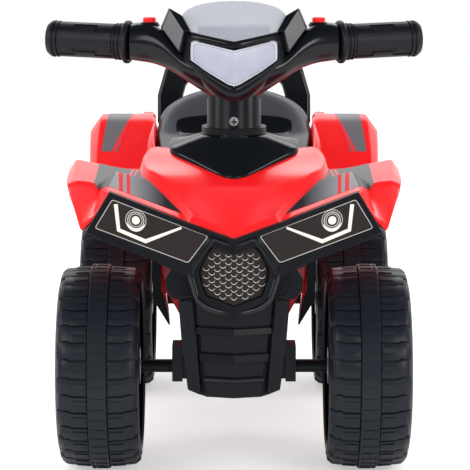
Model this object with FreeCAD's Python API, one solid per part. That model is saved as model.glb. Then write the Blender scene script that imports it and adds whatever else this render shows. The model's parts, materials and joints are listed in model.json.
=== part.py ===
"""Foot-to-floor quad bike for a small child, as an assembly of separate pieces.

Millimetres. +Z is up, the quad faces -Y and +X is the rider's left. The origin is on the floor under the
middle of the quad.
"""
import FreeCAD
import Part
import math
import os

V = FreeCAD.Vector

# Driving dimensions
NOSE_Y = -300.0
TAIL_Y = 300.0
WHEEL_R = 100.0
WHEEL_X = 128.5
FRONT_AXLE_Y = -178.0
REAR_AXLE_Y = 166.0
AXLE_Z = 100.0
AXLE_R = 4.0
AXLE_END_X = 162.0
RAKE_DEG = 18.0
WALL = 3.0
FIT = 0.1
FACE_GAP = 0.3
# Length by which a cutting tool runs past the piece that it cuts
PAST = 30.0

# Steering line
TAN_RAKE = math.tan(math.radians(RAKE_DEG))
COLUMN = V(0, math.sin(math.radians(RAKE_DEG)), math.cos(math.radians(RAKE_DEG)))
COLUMN_FRONT = V(0, -math.cos(math.radians(RAKE_DEG)), math.sin(math.radians(RAKE_DEG)))
ROD_R = 10.0
BUSH_R = 14.0
NECK_R = 26.7
COLLAR_R = 32.0
COLLAR_Z = 321.0
COLLAR_H = 6.0

# Nose: every front section lies in a plane that is swept back from the middle and leans back at the top
LEAN = 0.12
LEAN_Z = 245.0
RIM_Y = -280.0
CHIN_Z = 169.0
FASCIA_Y = NOSE_Y - LEAN * (CHIN_Z - LEAN_Z)
FASCIA_T = RIM_Y - FACE_GAP - FASCIA_Y
SWEEP = 0.44

PARTS = {}


def keep(name, shape):
    """Remember a finished piece under its node name."""
    PARTS[name] = shape
    return shape


def mirrored(shape):
    """The same shape on the other side of the middle plane."""
    return shape.mirror(V(0, 0, 0), V(1, 0, 0))


def both(shape):
    """One solid from a half and its mirror image."""
    return shape.fuse(mirrored(shape)).removeSplitter()


def fused(shapes):
    """One shape from several that touch or overlap."""
    return shapes[0].multiFuse(shapes[1:]).removeSplitter() if len(shapes) > 1 else shapes[0]


def face(points):
    """Flat face through the points."""
    return Part.Face(Part.makePolygon(list(points) + [points[0]]))


def shrink(points, centre, factor):
    """Outline scaled about a centre."""
    return [(centre[0] + (x - centre[0]) * factor, centre[1] + (z - centre[1]) * factor) for x, z in points]


def prism(points, direction):
    """Flat outline pulled along a direction."""
    return face(points).extrude(direction)


def box(x0, x1, y0, y1, z0, z1):
    """Box between two corners."""
    return Part.makeBox(x1 - x0, y1 - y0, z1 - z0, V(x0, y0, z0))


def rod(radius, start, direction, length):
    """Round bar from a point along a direction."""
    return Part.makeCylinder(radius, length, start, direction)


def tube(outer, inner, start, direction, length):
    """Round tube from a point along a direction."""
    return rod(outer, start, direction, length).cut(rod(inner, start, direction, length))


def cross_bar(radius, x0, x1, y, z):
    """Round bar across the quad."""
    return rod(radius, V(x0, y, z), V(1, 0, 0), x1 - x0)


def cross_tube(outer, inner, x0, x1, y, z):
    """Round tube across the quad."""
    return tube(outer, inner, V(x0, y, z), V(1, 0, 0), x1 - x0)


def column_point(z):
    """Point of the steering line at a height."""
    return V(0, FRONT_AXLE_Y + (z - AXLE_Z) * TAN_RAKE, z)


def column_bar(radius, z0, z1):
    """Round bar along the steering line between two heights."""
    start, end = column_point(z0), column_point(z1)
    return rod(radius, start, COLUMN, (end - start).Length)


def skin(sections):
    """Closed solid through outlines that have the same number of points, with flat ends."""
    faces = [face(sections[0]), face(sections[-1])]
    for near, far in zip(sections, sections[1:]):
        for i in range(len(near)):
            a, b = near[i], near[(i + 1) % len(near)]
            c, d = far[(i + 1) % len(near)], far[i]
            halves = ((a, b, c), (a, c, d)) if (c - a).Length < (d - b).Length else ((a, b, d), (b, c, d))
            faces += [face(corners) for corners in halves]
    shell = Part.makeShell(faces)
    shell.sewShape()
    solid = Part.makeSolid(shell)
    if solid.Volume < 0:
        solid.reverse()
    return solid


def screw(head, direction, head_r, head_t, shank_r, length):
    """Screw whose head starts at a point and whose shank runs along a direction."""
    shank = rod(shank_r, head + direction * head_t, direction, length)
    return rod(head_r, head, direction, head_t).fuse(shank)


def group(shapes):
    """Separate solids that share one node."""
    return Part.makeCompound(shapes)


# Front cowl
# Each station: place of its middle, sweep, then the line points (x, z) from the middle to the fender lip.
COWL_STATIONS = [
    (RIM_Y, SWEEP, (0, 244), (45, 257), (48, 258),
     (117, 280), (134, 252), (140, 243.5), (143, 242), (141.5, 238)),
    (RIM_Y + 15, SWEEP, (0, 251), (53, 267), (56, 265.5),
     (119, 284), (129, 282), (147, 283), (155, 268), (153, 256)),
    (RIM_Y + 48, 0.43, (0, 264), (66, 280), (69, 276.5),
     (114, 292.5), (121, 286), (152, 287.5), (161, 280), (160, 260)),
    (RIM_Y + 82, 0.41, (0, 279), (83, 295), (86, 288),
     (112, 287), (121, 286.5), (154, 290.5), (162.5, 282), (161, 260)),
    (RIM_Y + 104, 0.40, (0, 286), (86, 300), (89, 286.5),
     (108, 287), (121, 288.5), (156, 293.5), (163, 284), (161.5, 260)),
    (RIM_Y + 142, 0.37, (0, 297), (81, 308), (90, 284),
     (108, 283), (121, 283), (153, 285), (160, 277), (158, 258)),
    (RIM_Y + 172, 0.33, (0, 303), (79, 304), (88, 281),
     (106, 273), (121, 271), (148, 271), (153, 266), (152, 256)),
]
COWL_REAR = (-62.0, 0.05, (0, 262), (70, 262), (79, 255))
ARCH_FOOT_X = 46.0
ARCH_FOOT_Z = (222, 214, 208, 206, 206, 206, 206, 212)
DASH_OUTLINE = [(0, -190), (64, -122), (64, -80), (-64, -80), (-64, -122)]
DASH_ROOM = 1.006
DASH_CUT_Z = 265.0
DASH_CUT_H = 80.0


def nose_point(x, z, middle_y, sweep):
    """Point of a swept and leaning nose section."""
    return V(x, middle_y + sweep * abs(x) + LEAN * (z - LEAN_Z), z)


def under_hood(top, crease, valley):
    """Points of the hood's underside at one station, from the valley back to the middle."""
    return [(valley[0] - WALL, valley[1] - WALL), (crease[0] - WALL, crease[1] - WALL), (0, top[1] - WALL)]


def cowl_half_section(station, foot_z):
    """Closed outline of half the cowl at one station: hood, fender and the wall inside the wheel arch."""
    middle_y, sweep, top, crease, valley, *fender = station
    foot = (ARCH_FOOT_X, foot_z)
    under_fender = [(fender[-1][0] - WALL, fender[-1][1]), (fender[-2][0] - WALL, fender[-2][1] - 1)]
    under_fender += [(x - 1.5, z - WALL) for x, z in reversed(fender[:-2])]
    arch = [(valley[0] + 1.5, valley[1] - WALL), (foot[0] + 1.5, foot[1]), (foot[0] - 1.5, foot[1])]
    outline = [top, crease, valley] + fender + under_fender + arch + under_hood(top, crease, valley)
    return [nose_point(x, z, middle_y, sweep) for x, z in outline]


def hood_half_section(station, foot_z):
    """Closed outline of half the hood alone, without the fender."""
    middle_y, sweep, top, crease, valley = station[:5]
    foot = (ARCH_FOOT_X, foot_z)
    outline = [top, crease, valley, (foot[0] + 1.5, foot[1]), (foot[0] - 1.5, foot[1])]
    outline += under_hood(top, crease, valley)
    return [nose_point(x, z, middle_y, sweep) for x, z in outline]


def make_front_cowl():
    """Red hood with both front fenders, open underneath and cut out for the dash plate."""
    wide = skin([cowl_half_section(s, z) for s, z in zip(COWL_STATIONS, ARCH_FOOT_Z)])
    rear_ends = zip((COWL_STATIONS[-1], COWL_REAR), ARCH_FOOT_Z[-2:])
    rear = skin([hood_half_section(station, foot_z) for station, foot_z in rear_ends])
    cowl = both(wide.fuse(rear))
    outline = shrink(DASH_OUTLINE, (0, DASH_OUTLINE[0][1]), DASH_ROOM)
    opening = prism([V(x, y, DASH_CUT_Z) for x, y in outline], V(0, 0, DASH_CUT_H))
    return keep("front_cowl", cowl.cut(opening))


# Rear body
# Each station: y, deck height, deck edge x, then rim top, rim outer edge, side and skirt edge as (x, z).
BODY_STATIONS = [
    (-54, 246, 66, (70, 257), (79, 253), (83, 141), (67, 112)),
    (-36, 246, 67, (71, 258), (81, 254), (83.5, 141), (67, 112)),
    (-18, 246, 69, (73, 259), (83, 255), (84, 142), (67.5, 113)),
    (40, 246, 75, (79, 264), (89, 261), (84, 150), (72, 122)),
    (80, 246, 82, (86, 290), (96, 286), (84, 167), (79.5, 149)),
    (115, 246, 85, (88.5, 307), (99, 303), (84, 176), (79.8, 162)),
    (188, 246, 86, (89, 309), (104, 308), (84, 180), (79.8, 168)),
    (194, 287, 88, (91, 304), (105, 307), (84, 180), (79.8, 168)),
    (250, 284, 88, (91, 293), (103, 295), (84, 184), (79.8, 173)),
    (TAIL_Y - 4, 256, 78, (82, 262), (94, 260), (84, 190), (79.8, 180)),
]
SKIRT_FRONT = -38.5
SKIRT_TOP = 206.0
# Inner gusset behind the front end of each skirt, as (x, z)
GUSSET_Y = -30.0
GUSSET = [(36.5, 118), (55, 118), (66.5, 139.5), (78, 150), (82, 150), (82, 205), (36.5, 205)]
# Each station: y, then the fender points (x, z) from the body side to the lip.
REAR_FENDER_STATIONS = [
    (50, (87.2, 238), (112, 239), (138, 239), (150, 229), (149, 217)),
    (90, (95, 274), (112, 275), (143, 276), (156, 257), (155, 240)),
    (140, (99, 303), (112, 309), (144, 310), (156.8, 285), (155.5, 262)),
    (200, (102, 304), (112, 307), (143, 307), (155.5, 283), (154, 260)),
    (262, (98.5, 284), (110, 286), (136, 285), (146, 268), (145, 252)),
    (TAIL_Y - 8, (92, 258), (106, 259), (126, 258), (134, 248), (133, 238)),
]


def body_half_section(y, deck, edge, rim, outer, side, skirt):
    """Closed outline of half the rear body shell at one station."""
    outline = [(0, deck), (edge, deck), rim, outer, side, skirt, (skirt[0] - WALL, skirt[1] + 0.5)]
    outline += [(side[0] - WALL, side[1]), (outer[0] - WALL, outer[1] - WALL)]
    outline += [(rim[0] + WALL, rim[1] - WALL), (edge + 2, deck - WALL), (0, deck - WALL)]
    return [V(x, y, z) for x, z in outline]


def fender_half_section(y, points):
    """Closed outline of one rear fender at one station."""
    shoulder, lip = points[-2:]
    outline = list(points) + [(lip[0] - WALL, lip[1]), (shoulder[0] - WALL, shoulder[1] - 1)]
    outline += [(x - 1.5, z - WALL) for x, z in reversed(points[1:-2])]
    outline.append((points[0][0], points[0][1] - WALL))
    return [V(x, y, z) for x, z in outline]


def make_rear_body():
    """Red body under the seat with side skirts, both rear fenders and the tail panel."""
    shell = skin([body_half_section(*station) for station in BODY_STATIONS])
    fender = skin([fender_half_section(station[0], station[1:]) for station in REAR_FENDER_STATIONS])
    y, deck, edge, rim, outer, side, skirt = BODY_STATIONS[-1]
    panel = [(0, deck), (edge, deck), rim, outer, side, skirt, (0, skirt[1])]
    tail = prism([V(x, y - 0.5, z) for x, z in panel], V(0, TAIL_Y - y + 0.5, 0))
    gusset = prism([V(x, GUSSET_Y, z) for x, z in GUSSET], V(0, WALL, 0))
    body = both(fused([shell, fender, tail, gusset]))
    wheel_room = box(-AXLE_END_X, AXLE_END_X, NOSE_Y, SKIRT_FRONT, 0, SKIRT_TOP)
    return keep("rear_body", body.cut(wheel_room))


# Chassis frame
BEAM_X = 33.0
BEAM_FRONT = -248.0
BEAM_REAR = 240.0
BEAM_Z0 = 150.0
BEAM_Z1 = 205.0
BEAM_T = 4.0
HEAD_R = 20.0
HEAD_Z0 = 132.0
HEAD_Z1 = 236.0
POSTS = [(24, 10), (24, 150)]
POST_R = 8.0
POST_TOP = 242.7
FLANGE_X = 50.0
FLANGE_REAR = -70.0
# Rear axle lug: half lengths along Y and rise above the beam's foot or drop below the axle
LUG_X0 = 21.0
LUG_HALF = (42.0, 14.0)
LUG_RISE = 10.0
LUG_DROP = 13.0
# Front bracket beside the grille and foot guard in front of the skirt, each as (x, z)
BRACKET_Y = -208.0
BRACKET = [(30, 170), (58.9, 172.3), (65.1, 180.3), (66.1, 191), (60, 202), (30, 202)]
GUARD_Y = -43.0
GUARD = [
    (30, 204), (83.8, 204), (83.8, 139.8), (66.8, 111.5), (66.2, 114), (69.4, 131), (72, 139.8),
    (75, 147), (75, 190), (30, 190),
]
PLATE_T = 4.0
AXLE_BUSH_R = 8.0


def make_chassis_frame():
    """Black channel beam with the steering head, brackets, posts under the body and the rear axle lugs."""
    beam = box(-BEAM_X, BEAM_X, BEAM_FRONT, BEAM_REAR, BEAM_Z0, BEAM_Z1)
    web_x, web_z = BEAM_X - BEAM_T, BEAM_Z1 - BEAM_T
    inside = box(-web_x, web_x, BEAM_FRONT + BEAM_T, BEAM_REAR - BEAM_T, 0, web_z)
    flange = box(-FLANGE_X, FLANGE_X, BEAM_FRONT + BEAM_T, FLANGE_REAR, web_z, BEAM_Z1)
    long, short = LUG_HALF
    lug_top, lug_foot = BEAM_Z0 + LUG_RISE, AXLE_Z - LUG_DROP
    lug = [(-long, lug_top), (long, lug_top), (short, lug_foot), (-short, lug_foot)]
    lug = prism([V(LUG_X0, REAR_AXLE_Y + y, z) for y, z in lug], V(BEAM_X - LUG_X0, 0, 0))
    pieces = [beam.cut(inside), flange, column_bar(HEAD_R, HEAD_Z0, HEAD_Z1), lug, mirrored(lug)]
    for x, y in POSTS:
        post = rod(POST_R, V(x, y, BEAM_Z1 - BEAM_T), V(0, 0, 1), POST_TOP - BEAM_Z1 + BEAM_T)
        pieces += [post, mirrored(post)]
    for outline, y in ((BRACKET, BRACKET_Y), (GUARD, GUARD_Y)):
        plate = prism([V(x, y, z) for x, z in outline], V(0, PLATE_T, 0))
        pieces += [plate, mirrored(plate)]
    frame = fused(pieces)
    frame = frame.cut(column_bar(BUSH_R + FIT, HEAD_Z0 - PAST, HEAD_Z1 + PAST))
    frame = frame.cut(cross_bar(AXLE_BUSH_R + FIT, -FLANGE_X, FLANGE_X, REAR_AXLE_Y, AXLE_Z))
    return keep("chassis_frame", frame)


# Skid plate
SKID_Y = -276.0
SKID_SWEEP = 0.25
SKID_T = 5.0
SKID_OUTLINE = [(0, 186), (50, 186), (52, 181), (48.7, 138.7), (43.2, 99.3), (29, 93), (0, 92.8)]
SKID_RAIL = [(38, 184), (52, 181), (48.7, 138.7), (43.2, 99.3), (31, 96)]
SKID_RAIL_T = 5.0
# Each ledge: lower edge, upper edge, half width
LEDGES = [(150.5, 157.2, 36), (124.7, 132.3, 32.5), (105.8, 109.5, 28.5)]
LEDGE_T = 3.0
SKID_BOSS = (20, 170)
SKID_BOSS_R = 7.0


def skid_point(x, z, forward=0.0):
    """Point of the skid plate's front face, or of a plane in front of it."""
    return V(x, SKID_Y + SKID_SWEEP * abs(x) - forward, z)


def make_skid_plate():
    """Black ribbed plate under the grille, with side rails, ledges and two bosses on its back."""
    plate = prism([skid_point(x, z) for x, z in SKID_OUTLINE], V(0, SKID_T, 0))
    rail = prism([skid_point(x, z, SKID_RAIL_T) for x, z in SKID_RAIL], V(0, SKID_RAIL_T + 1, 0))
    pieces = [plate, rail]
    for low, high, width in LEDGES:
        ledge = [skid_point(x, z, LEDGE_T) for x, z in ((0, low), (width, low), (width, high), (0, high))]
        pieces.append(prism(ledge, V(0, LEDGE_T + 1, 0)))
    x, z = SKID_BOSS
    start = skid_point(x, z, -SKID_T / 2)
    pieces.append(rod(SKID_BOSS_R, start, V(0, 1, 0), BEAM_FRONT - FIT * 2 - start.y))
    return keep("skid_plate", both(fused(pieces)))


# Front fascia
FASCIA_OUTLINE = [
    (0, 243.5), (45, 256.5), (117, 279.5), (140.5, 240), (115, 230), (77, 219), (63, 213.5), (44, 206.5),
    (40, 196), (32, 180), (0, CHIN_Z),
]
PANEL_OUTLINE = [(115, 273), (131.5, 244.8), (42.8, 218.5), (23.5, 244.5)]
PANEL_CENTRE = (80, 245)
PANEL_POCKET = 3.0
PANEL_T = 2.2
PANEL_FILL = 0.99
GRILLE_OUTLINE = [(0, 229), (19, 235.5), (24, 233), (32, 214), (32, 207), (26.5, 190), (0, 182)]
GRILLE_CENTRE = (0, 207)
GRILLE_POCKET = 7.0
GRILLE_T = 2.5
MESH_FILL = 0.985


def fascia_slab(points, depth, thickness):
    """Slab in the plane of the fascia, a depth behind its front."""
    return prism([nose_point(x, z, FASCIA_Y + depth, SWEEP) for x, z in points], V(0, thickness, 0))


def make_fascia():
    """Black front fascia with the pockets for both headlight panels and the grille, and what lies in them."""
    half = fascia_slab(FASCIA_OUTLINE, 0, FASCIA_T)
    half = half.cut(fascia_slab(PANEL_OUTLINE, -PAST, PANEL_POCKET + PAST))
    half = half.cut(fascia_slab(GRILLE_OUTLINE, -PAST, GRILLE_POCKET + PAST))
    keep("front_fascia", both(half))
    panel = fascia_slab(shrink(PANEL_OUTLINE, PANEL_CENTRE, PANEL_FILL), PANEL_POCKET - PANEL_T, PANEL_T)
    keep("headlight_panel_left", panel)
    keep("headlight_panel_right", mirrored(panel))
    mesh = [(max(x - FACE_GAP, 0), z) for x, z in shrink(GRILLE_OUTLINE, GRILLE_CENTRE, MESH_FILL)]
    grille = fascia_slab(mesh, GRILLE_POCKET - GRILLE_T, GRILLE_T)
    keep("grille_mesh", both(grille))


# Dash plate: half of its top as points, the front tip first
DASH_T = 7.0
DASH_TIP = V(0, -189.5, 283.5)
DASH_FRONT = V(50, -136.5, 302)
DASH_CORNER = V(63.6, -118, 307)
DASH_BACK = V(63.6, -80.5, 313.5)
DASH_BACK_MID = V(0, -80.5, 318)
DASH_RIDGE = V(19, -130, 319.5)
DASH_RIDGE_MID = V(0, -136, 320.5)
DASH_SIDE = V(31, -107, 321)
DASH_MIDDLE = V(0, -107, 321)
BOSS_R = 31.0
BOSS_Z0 = 296.0
BOSS_Z1 = 318.5
# Room that the level collar needs as it turns about the raked steering line
COLLAR_GAP = 1.2
COLLAR_DROP = 4.0


def collar_bar(radius, z0, z1):
    """Upright round bar about the point where the steering line passes the collar."""
    return rod(radius, V(0, column_point(COLLAR_Z).y, z0), V(0, 0, 1), z1 - z0)


def make_dash_plate():
    """Black plate round the steering column, with the boss for the upper bush."""
    facets = [
        (DASH_TIP, DASH_FRONT, DASH_RIDGE),
        (DASH_TIP, DASH_RIDGE, DASH_RIDGE_MID),
        (DASH_FRONT, DASH_SIDE, DASH_RIDGE),
        (DASH_FRONT, DASH_CORNER, DASH_SIDE),
        (DASH_CORNER, DASH_BACK, DASH_SIDE),
        (DASH_BACK, DASH_BACK_MID, DASH_SIDE),
        (DASH_SIDE, DASH_BACK_MID, DASH_MIDDLE),
        (DASH_RIDGE, DASH_SIDE, DASH_MIDDLE),
        (DASH_RIDGE_MID, DASH_RIDGE, DASH_MIDDLE),
    ]
    top = both(fused([face(facet).extrude(V(0, 0, -DASH_T)) for facet in facets]))
    boss = column_bar(BOSS_R, BOSS_Z0, BOSS_Z1)
    plate = fused([top, boss]).cut(collar_bar(COLLAR_R + COLLAR_GAP, COLLAR_Z - COLLAR_DROP, COLLAR_Z + PAST))
    return keep("dash_plate", plate.cut(column_bar(BUSH_R + FIT, BOSS_Z0 - PAST, BOSS_Z1 + PAST)))


# Seat: y, half width, edge height, middle height, 1 for a hump or 0 for a dish
SEAT_STATIONS = [
    (-50, 58, 256, 257, 0),
    (-20, 65, 261, 256, 0),
    (40, 71, 266, 255, 0),
    (85, 79, 279, 263, 0),
    (120, 83, 290, 285, 0),
    (150, 84, 296, 314, 1),
    (168, 84.5, 297, 333, 1),
    (184, 84, 296, 338, 1),
]
SEAT_STEPS = (0, 0.2, 0.4, 0.6, 0.75, 0.87, 0.95, 1)
SEAT_FLOOR = 246.4
SEAT_WALL = 4.0
BACK_WALL = 3.0


def seat_top(x_share, edge_z, middle_z, hump):
    """Height of the seat across its width."""
    bow = math.sqrt(1 - x_share ** 2) if hump else (1 - x_share ** 2) ** 2
    return edge_z + (middle_z - edge_z) * bow


def seat_half_section(y, width, edge_z, middle_z, hump):
    """Closed outline of half the seat shell at one station."""
    outer = [(share * width, seat_top(share, edge_z, middle_z, hump)) for share in SEAT_STEPS]
    inner = [(share * (width - SEAT_WALL), z - SEAT_WALL) for share, (x, z) in zip(SEAT_STEPS, outer)]
    outline = outer + [(width, SEAT_FLOOR), (width - SEAT_WALL, SEAT_FLOOR)] + inner[::-1]
    return [V(x, y, z) for x, z in outline]


def make_seat():
    """Black seat shell with a raised backrest, open underneath."""
    pieces = [skin([seat_half_section(*station) for station in SEAT_STATIONS])]
    for station in (SEAT_STATIONS[0], SEAT_STATIONS[-1]):
        y, width, edge_z, middle_z, hump = station
        outline = [(0, SEAT_FLOOR)] + [(s * width, seat_top(s, edge_z, middle_z, hump)) for s in SEAT_STEPS]
        outline.append((width, SEAT_FLOOR))
        start, wall = (y, SEAT_WALL) if y < 0 else (y - 1, BACK_WALL)
        pieces.append(prism([V(x, start, z) for x, z in outline], V(0, wall, 0)))
    return keep("seat", both(fused(pieces)))


# Rear handle: outlines as (x, height above the deck), half of each
HANDLE_Y = 226.0
HANDLE_Z = 289.5
HANDLE_T = 22.0
HANDLE_TILT_DEG = 12.0
HANDLE_OUTER = [(0, 80), (64, 78), (78, 66), (87, 34), (87, 0), (58, 0)]
HANDLE_INNER = [(58, 34), (54, 48), (44, 54), (0, 55)]


def make_rear_handle():
    """Black loop handle behind the backrest."""
    half = prism([V(x, 0, z) for x, z in HANDLE_OUTER + HANDLE_INNER], V(0, HANDLE_T, 0))
    handle = both(half)
    handle.rotate(V(0, 0, 0), V(1, 0, 0), -HANDLE_TILT_DEG)
    handle.translate(V(0, HANDLE_Y, HANDLE_Z))
    below = box(-WHEEL_X, WHEEL_X, 0, TAIL_Y + PAST, 0, HANDLE_Z + FIT * 2)
    return keep("rear_handle", handle.cut(below))


# Wheels: half outline (x from the middle of the wheel, radius), outer side at +x
TREAD = [
    (-39, 84), (-34, 95), (-9, 98.5), (-9, WHEEL_R), (9, WHEEL_R), (9, 98.5), (34, 95), (40, 83),
]
RIM_OUT = [(40, 72), (24, 66), (24, 20), (26, 20), (26, 8 + FIT), (-37, 8 + FIT), (-37, 18), (20, 18)]
RIM_IN = [
    (20, 48), (-10, 48), (-10, 52), (20, 52), (20, 66), (30, 74), (30, 82), (26, 90), (-36, 89), (-39, 80),
]
LUGS = 36
LUG_GROOVE = 2.2
LUG_DEPTH = 2.0
LUG_STAGGER_DEG = 1.0
LUG_ENDS = ((9.5, 98.5), (36, 94))
SPOKES = 6
SPOKE = (23, 29, -7, 7, 19, 68.5)
CAP_R = 26.0
CAP_HOLLOW_R = 22.0


def make_wheel():
    """Broad moulded wheel, its outer side towards +X, its middle at the origin."""
    outline = [V(x, 0, r) for x, r in TREAD + RIM_OUT + RIM_IN]
    wheel = face(outline).revolve(V(0, 0, 0), V(1, 0, 0), 360)
    grooves = []
    for i in range(LUGS):
        turn = 360 * i / LUGS + LUG_STAGGER_DEG * (i % 2)
        for side in (-1, 1):
            floor = [V(side * x, -LUG_GROOVE / 2, r - LUG_DEPTH) for x, r in LUG_ENDS]
            mouth = [V(side * x, -LUG_GROOVE / 2, WHEEL_R + PAST) for x, r in LUG_ENDS]
            groove = prism(floor + mouth[::-1], V(0, LUG_GROOVE, 0))
            groove.rotate(V(0, 0, 0), V(1, 0, 0), turn)
            grooves.append(groove)
    wheel = wheel.cut(group(grooves))
    spokes = []
    for i in range(SPOKES):
        spoke = box(*SPOKE)
        spoke.rotate(V(0, 0, 0), V(1, 0, 0), 360 * i / SPOKES)
        spokes.append(spoke)
    return fused([wheel] + spokes)


def make_hub_cap():
    """Round cap over the hub, its outer side towards +X."""
    out = V(1, 0, 0)
    cup = rod(CAP_R, V(30, 0, 0), out, 8).cut(rod(CAP_HOLLOW_R, V(29, 0, 0), out, 6))
    return cup.fuse(tube(CAP_R, CAP_HOLLOW_R, V(29.2, 0, 0), out, 2))


def place_wheels():
    """Four wheels, each with its bush and hub cap."""
    shapes = {
        "wheel": make_wheel(),
        "hub_cap": make_hub_cap(),
        "wheel_bush": tube(8, AXLE_R + FIT / 2, V(-37.5, 0, 0), V(1, 0, 0), 63.5),
    }
    for end, y in (("front", FRONT_AXLE_Y), ("rear", REAR_AXLE_Y)):
        for name, shape in shapes.items():
            left = shape.copy()
            left.translate(V(WHEEL_X, y, AXLE_Z))
            keep(f"{end}_{name}_left", left)
            keep(f"{end}_{name}_right", mirrored(left))


# Axles
SLEEVE_R = 6.4
CAP_X = WHEEL_X + 26.6
WHEEL_IN_X = WHEEL_X - 37.5


def axle_caps(y):
    """Push-on caps at both ends of an axle."""
    cap = cross_tube(9, AXLE_R, CAP_X, CAP_X + 4, y, AXLE_Z)
    return group([cap, mirrored(cap)])


def make_rear_axle():
    """Rear axle with its bushes in the frame lugs, the spacer sleeves and the end caps."""
    keep("rear_axle", cross_bar(AXLE_R, -AXLE_END_X, AXLE_END_X, REAR_AXLE_Y, AXLE_Z))
    bush = cross_tube(AXLE_BUSH_R, AXLE_R + FIT / 2, LUG_X0, BEAM_X, REAR_AXLE_Y, AXLE_Z)
    keep("rear_axle_bushes", group([bush, mirrored(bush)]))
    sleeve = cross_tube(SLEEVE_R, AXLE_R + FIT / 2, BEAM_X + 0.4, WHEEL_IN_X - 0.5, REAR_AXLE_Y, AXLE_Z)
    keep("rear_axle_sleeves", group([sleeve, mirrored(sleeve)]))
    keep("rear_axle_caps", axle_caps(REAR_AXLE_Y))


def make_front_axle():
    """Front axle carrier that turns with the steering, its axle, rod pin and end caps."""
    beam = box(-50, 50, FRONT_AXLE_Y - 9, FRONT_AXLE_Y + 9, AXLE_Z - 11, AXLE_Z + 11)
    hub = column_bar(18, AXLE_Z - 13, AXLE_Z + 25)
    block = box(50, 60, FRONT_AXLE_Y - 15, FRONT_AXLE_Y + 15, AXLE_Z - 12.5, AXLE_Z + 22.5)
    sleeve = cross_bar(SLEEVE_R, 59, WHEEL_IN_X - 0.5, FRONT_AXLE_Y, AXLE_Z)
    carrier = fused([beam, hub, block, mirrored(block), sleeve, mirrored(sleeve)])
    carrier = carrier.cut(cross_bar(AXLE_R + FIT / 2, -100, 100, FRONT_AXLE_Y, AXLE_Z))
    carrier = carrier.cut(column_bar(ROD_R + FIT / 2, ROD_Z0 - 0.2, AXLE_Z + 60))
    pin = cross_bar(2.5, -19, 19, column_point(PIN_Z).y, PIN_Z)
    keep("front_axle_carrier", carrier.cut(pin))
    keep("rod_pin", pin)
    keep("front_axle", cross_bar(AXLE_R, -AXLE_END_X, AXLE_END_X, FRONT_AXLE_Y, AXLE_Z))
    keep("front_axle_caps", axle_caps(FRONT_AXLE_Y))
    return pin


# Steering column
ROD_Z0 = AXLE_Z + 7
ROD_Z1 = 380.0
ROD_BORE = 7.0
PIN_Z = 117.0
BUSH_H = 26.0
WASHER_R = 17.0
WASHER_Z = 127.5
NECK_Z1 = 352.0
NECK_GAP = 0.4
NECK_SCREW_Z = 326.0
COLUMN_ROOM = 20.3


def column_tube(outer, inner, z0, z1):
    """Round tube along the steering line between two heights."""
    return column_bar(outer, z0, z1).cut(column_bar(inner, z0 - PAST, z1 + PAST))


def make_column(pin):
    """Steering rod with its bushes and washer, and the neck above the dash with its front screw."""
    below = box(-COLLAR_R, COLLAR_R, NOSE_Y, 0, 0, COLLAR_Z)
    neck = column_bar(NECK_R, COLLAR_Z - PAST, NECK_Z1).cut(below)
    neck = fused([neck, collar_bar(COLLAR_R, COLLAR_Z, COLLAR_Z + COLLAR_H)])
    neck = neck.cut(column_bar(ROD_R + FIT / 2, COLLAR_Z - PAST, NECK_Z1 + PAST))
    middle = column_point(NECK_SCREW_Z)
    bolt = screw(middle + COLUMN_FRONT * (NECK_R - 1.5), COLUMN_FRONT * -1, 4.5, 3, 2.2, 26)
    recess = rod(4.7, middle + COLUMN_FRONT * (NECK_R - 4.6), COLUMN_FRONT, PAST)
    keep("steering_neck", neck.cut(fused([bolt, recess])))
    keep("neck_screw", bolt)
    keep("steering_rod", column_tube(ROD_R, ROD_BORE, ROD_Z0, ROD_Z1).cut(fused([bolt, pin])))
    upper_bush = column_tube(BUSH_R, ROD_R + FIT, BOSS_Z0, BOSS_Z1)
    keep("upper_steering_bush", upper_bush.cut(collar_bar(COLLAR_R, COLLAR_Z - COLLAR_DROP, COLLAR_Z + PAST)))
    keep("middle_steering_bush", column_tube(BUSH_R, ROD_R + FIT, HEAD_Z1 - BUSH_H, HEAD_Z1))
    keep("lower_steering_bush", column_tube(BUSH_R, ROD_R + FIT, HEAD_Z0, HEAD_Z0 + BUSH_H))
    keep("thrust_washer", column_tube(WASHER_R, ROD_R + FIT, WASHER_Z, WASHER_Z + 2))


# Handlebar: x, then the middle (y, z), the half depth and the half height of its section
BAR_STATIONS = [
    (0, -92, 372, 24, 24),
    (12, -92, 373.5, 24, 23.5),
    (24, -91, 376, 23, 21),
    (36, -90, 380, 21, 17.5),
    (50, -87, 385, 19, 13.5),
    (58, -84, 392, 18.5, 14.5),
    (66, -81, 397.7, 18.3, 16.3),
    (75, -77, 402.5, 18.8, 18.2),
    (84, -73, 406, 19.3, 19.3),
    (96, -69, 406.8, 18.6, 19),
    (110, -64.6, 407.2, 17.5, 17.5),
]
BAR_WALL = 2.5
BAR_STEPS = 10
SEAM = 0.1
GRIP_START = V(104, -66, 406.7)
GRIP_END = V(186.5, -46.5, 409)
GRIP_LENGTH = (GRIP_END - GRIP_START).Length
GRIP_DIR = (GRIP_END - GRIP_START).normalize()
GRIP_R = 17.0
STUB_R = 12.0
BUTTON_X = 84.5
BUTTON_Y = -71.0
BUTTON_R = 6.5
BUTTON_TOP = 432.0
BUTTON_FOOT = 414.2
BUTTON_FLANGE_R = 7.6
BUTTON_FLANGE_T = 1.8
BUTTON_EDGE = 1.5
COLLAR_BUTTON_R = 9.0
COLLAR_BUTTON_Z = 422.0
COLLAR_BUTTON_H = 4.4
BOARD_HALF = 6.0
BOARD_Z = 408.6
SWITCH_HALF = 3.0
SWITCH_TOP = 410.8
ARM_PATH = [V(0, -90, 372), V(50, -86, 385), V(66, -81, 396), V(84, -73, 400.5), V(104, -66, 406.5)]
ARM_R = 6.0
STUB_END = 8.0
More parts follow.
